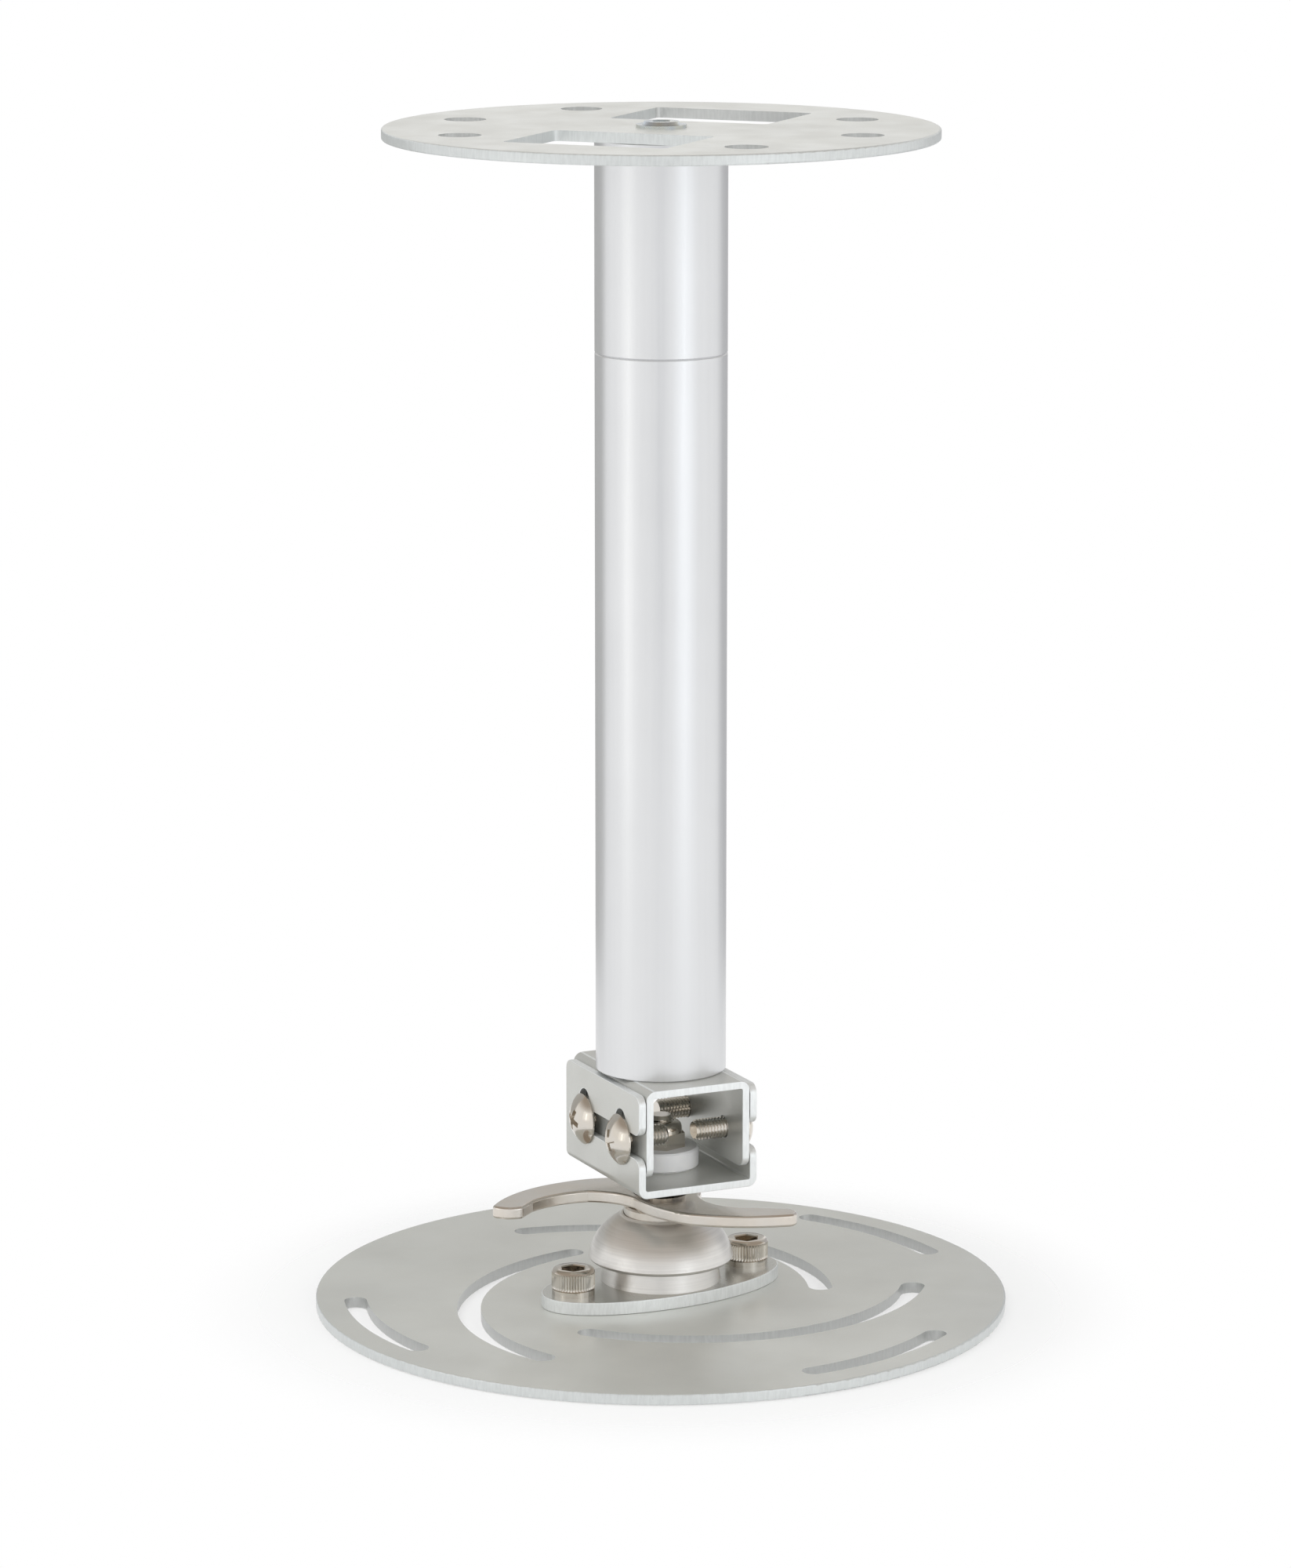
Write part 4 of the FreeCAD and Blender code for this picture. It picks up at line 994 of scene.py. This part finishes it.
def studio_world(fill):
    """White behind the mount, a soft fill for its shading, and a dim warm ceiling in its gloss."""
    world = bpy.data.worlds.new("studio")
    bpy.context.scene.world = world
    world.use_nodes = True
    nodes = world.node_tree.nodes
    links = world.node_tree.links
    background = nodes["Background"]
    strength = nodes.new("ShaderNodeMapRange")
    strength.inputs["To Min"].default_value = fill
    links.new(light_path_white(nodes, links), strength.inputs["Value"])
    links.new(strength.outputs["Result"], background.inputs["Strength"])
    direction = nodes.new("ShaderNodeSeparateXYZ")
    links.new(nodes.new("ShaderNodeTexCoord").outputs["Generated"], direction.inputs["Vector"])
    height = nodes.new("ShaderNodeMapRange")
    height.interpolation_type = "SMOOTHSTEP"
    height.inputs["From Min"].default_value = CEILING_FROM
    height.inputs["From Max"].default_value = CEILING_TO
    links.new(direction.outputs["Z"], height.inputs["Value"])
    glossy = nodes.new("ShaderNodeLightPath").outputs["Is Glossy Ray"]
    dim = combined(nodes, links, "MULTIPLY", height.outputs["Result"], glossy)
    colour = nodes.new("ShaderNodeMix")
    colour.data_type = "RGBA"
    colour.inputs[6].default_value = (1.0, 1.0, 1.0, 1.0)
    colour.inputs[7].default_value = CEILING
    links.new(dim, colour.inputs["Factor"])
    links.new(colour.outputs[2], background.inputs["Color"])


def round_place(azimuth, distance, height):
    """A point round the mount; azimuth 0 is in front of it, on the -Y side."""
    turn = math.radians(azimuth)
    return Vector((distance * math.sin(turn), -distance * math.cos(turn), height))


def softbox(name, brightness, azimuth, distance, height, width, tall, gloss=True, shading=True):
    """An area light whose face has that brightness, aimed at the mount's middle."""
    lamp = bpy.data.lights.new(name, "AREA")
    lamp.shape = "RECTANGLE"
    lamp.size = width
    lamp.size_y = tall
    lamp.energy = brightness * math.pi * width * tall
    piece = bpy.data.objects.new(name, lamp)
    bpy.context.collection.objects.link(piece)
    piece.location = round_place(azimuth, distance, height)
    piece.rotation_euler = (AIM - piece.location).to_track_quat("-Z", "Y").to_euler()
    piece.visible_glossy = gloss
    piece.visible_diffuse = shading


def card(name, colour, azimuth, distance, width, tall):
    """A coloured card that only the gloss of the metal sees."""
    material = bpy.data.materials.new(name)
    material.use_nodes = True
    nodes = material.node_tree.nodes
    nodes.clear()
    face = nodes.new("ShaderNodeEmission")
    face.inputs["Color"].default_value = (*colour, 1.0)
    out = nodes.new("ShaderNodeOutputMaterial")
    material.node_tree.links.new(face.outputs["Emission"], out.inputs["Surface"])
    middle = round_place(azimuth, distance, 0.0)
    side = Vector((-middle.y, middle.x, 0.0)).normalized() * width / 2.0
    up = Vector((0.0, 0.0, tall))
    mesh = bpy.data.meshes.new(name)
    corners = [middle - side, middle + side, middle + side + up, middle - side + up]
    mesh.from_pydata(corners, [], [(0, 1, 2, 3)])
    mesh.materials.append(material)
    piece = new_object(name, mesh)
    piece.visible_camera = False
    piece.visible_diffuse = False
    piece.visible_shadow = False
    piece.visible_transmission = False


class MOUNT_OT_stage(bpy.types.Operator):
    """Sets up the floor, the lights and the camera"""
    bl_idname = "mount.stage"
    bl_label = "Stage"

    def execute(self, context):
        studio = context.scene.mount_studio
        studio_floor()
        studio_world(studio.fill)
        softbox("left_softbox", studio.left_box, *LEFT, gloss=False)
        softbox("right_softbox", studio.right_box, *RIGHT, gloss=False)
        softbox("left_gloss", studio.gloss_box, *LEFT, shading=False)
        softbox("right_gloss", studio.gloss_box, *RIGHT, shading=False)
        softbox("top_softbox", studio.top_box, *TOP, gloss=False)
        for entry in CARDS:
            card(*entry)
        lens = bpy.data.cameras.new("camera")
        lens.lens = studio.lens
        lens.sensor_width = SENSOR_WIDTH
        camera = bpy.data.objects.new("camera", lens)
        context.collection.objects.link(camera)
        camera.location = studio.place
        camera.rotation_euler = (math.pi / 2.0 - studio.dip, 0.0, studio.heading - math.pi / 2.0)
        context.scene.camera = camera
        context.scene.view_settings.view_transform = "Standard"
        return {"FINISHED"}


class MOUNT_PT_sidebar(bpy.types.Panel):
    """Lists the mount's pieces and their settings"""
    bl_idname = "MOUNT_PT_sidebar"
    bl_label = "Projector Ceiling Mount"
    bl_space_type = "VIEW_3D"
    bl_region_type = "UI"
    bl_category = "Mount"

    def draw(self, context):
        for operator in OPERATORS:
            self.layout.operator(operator.bl_idname)
        for title, group in (("Sizes", context.scene.mount_sizes), ("Finishes", context.scene.mount_finishes),
                             ("Studio", context.scene.mount_studio)):
            column = self.layout.box().column()
            column.label(text=title)
            for key in group.__annotations__:
                column.prop(group, key)


OPERATORS = (MOUNT_OT_plates, MOUNT_OT_brackets, MOUNT_OT_tubes, MOUNT_OT_ball_joint, MOUNT_OT_ball_stud,
             MOUNT_OT_side_screws, MOUNT_OT_cap_screws, MOUNT_OT_stage)
CLASSES = (MountSizes, MountFinishes, MountStudio, *OPERATORS, MOUNT_PT_sidebar)


def register():
    for entry in CLASSES:
        bpy.utils.register_class(entry)
    bpy.types.Scene.mount_sizes = bpy.props.PointerProperty(type=MountSizes)
    bpy.types.Scene.mount_finishes = bpy.props.PointerProperty(type=MountFinishes)
    bpy.types.Scene.mount_studio = bpy.props.PointerProperty(type=MountStudio)


def unregister():
    del bpy.types.Scene.mount_studio
    del bpy.types.Scene.mount_finishes
    del bpy.types.Scene.mount_sizes
    for entry in reversed(CLASSES):
        bpy.utils.unregister_class(entry)


def main():
    register()
    bpy.ops.mount.plates()
    bpy.ops.mount.brackets()
    bpy.ops.mount.tubes()
    bpy.ops.mount.ball_joint()
    bpy.ops.mount.ball_stud()
    bpy.ops.mount.side_screws()
    bpy.ops.mount.cap_screws()
    bpy.ops.mount.stage()


if __name__ == "__main__":
    main()
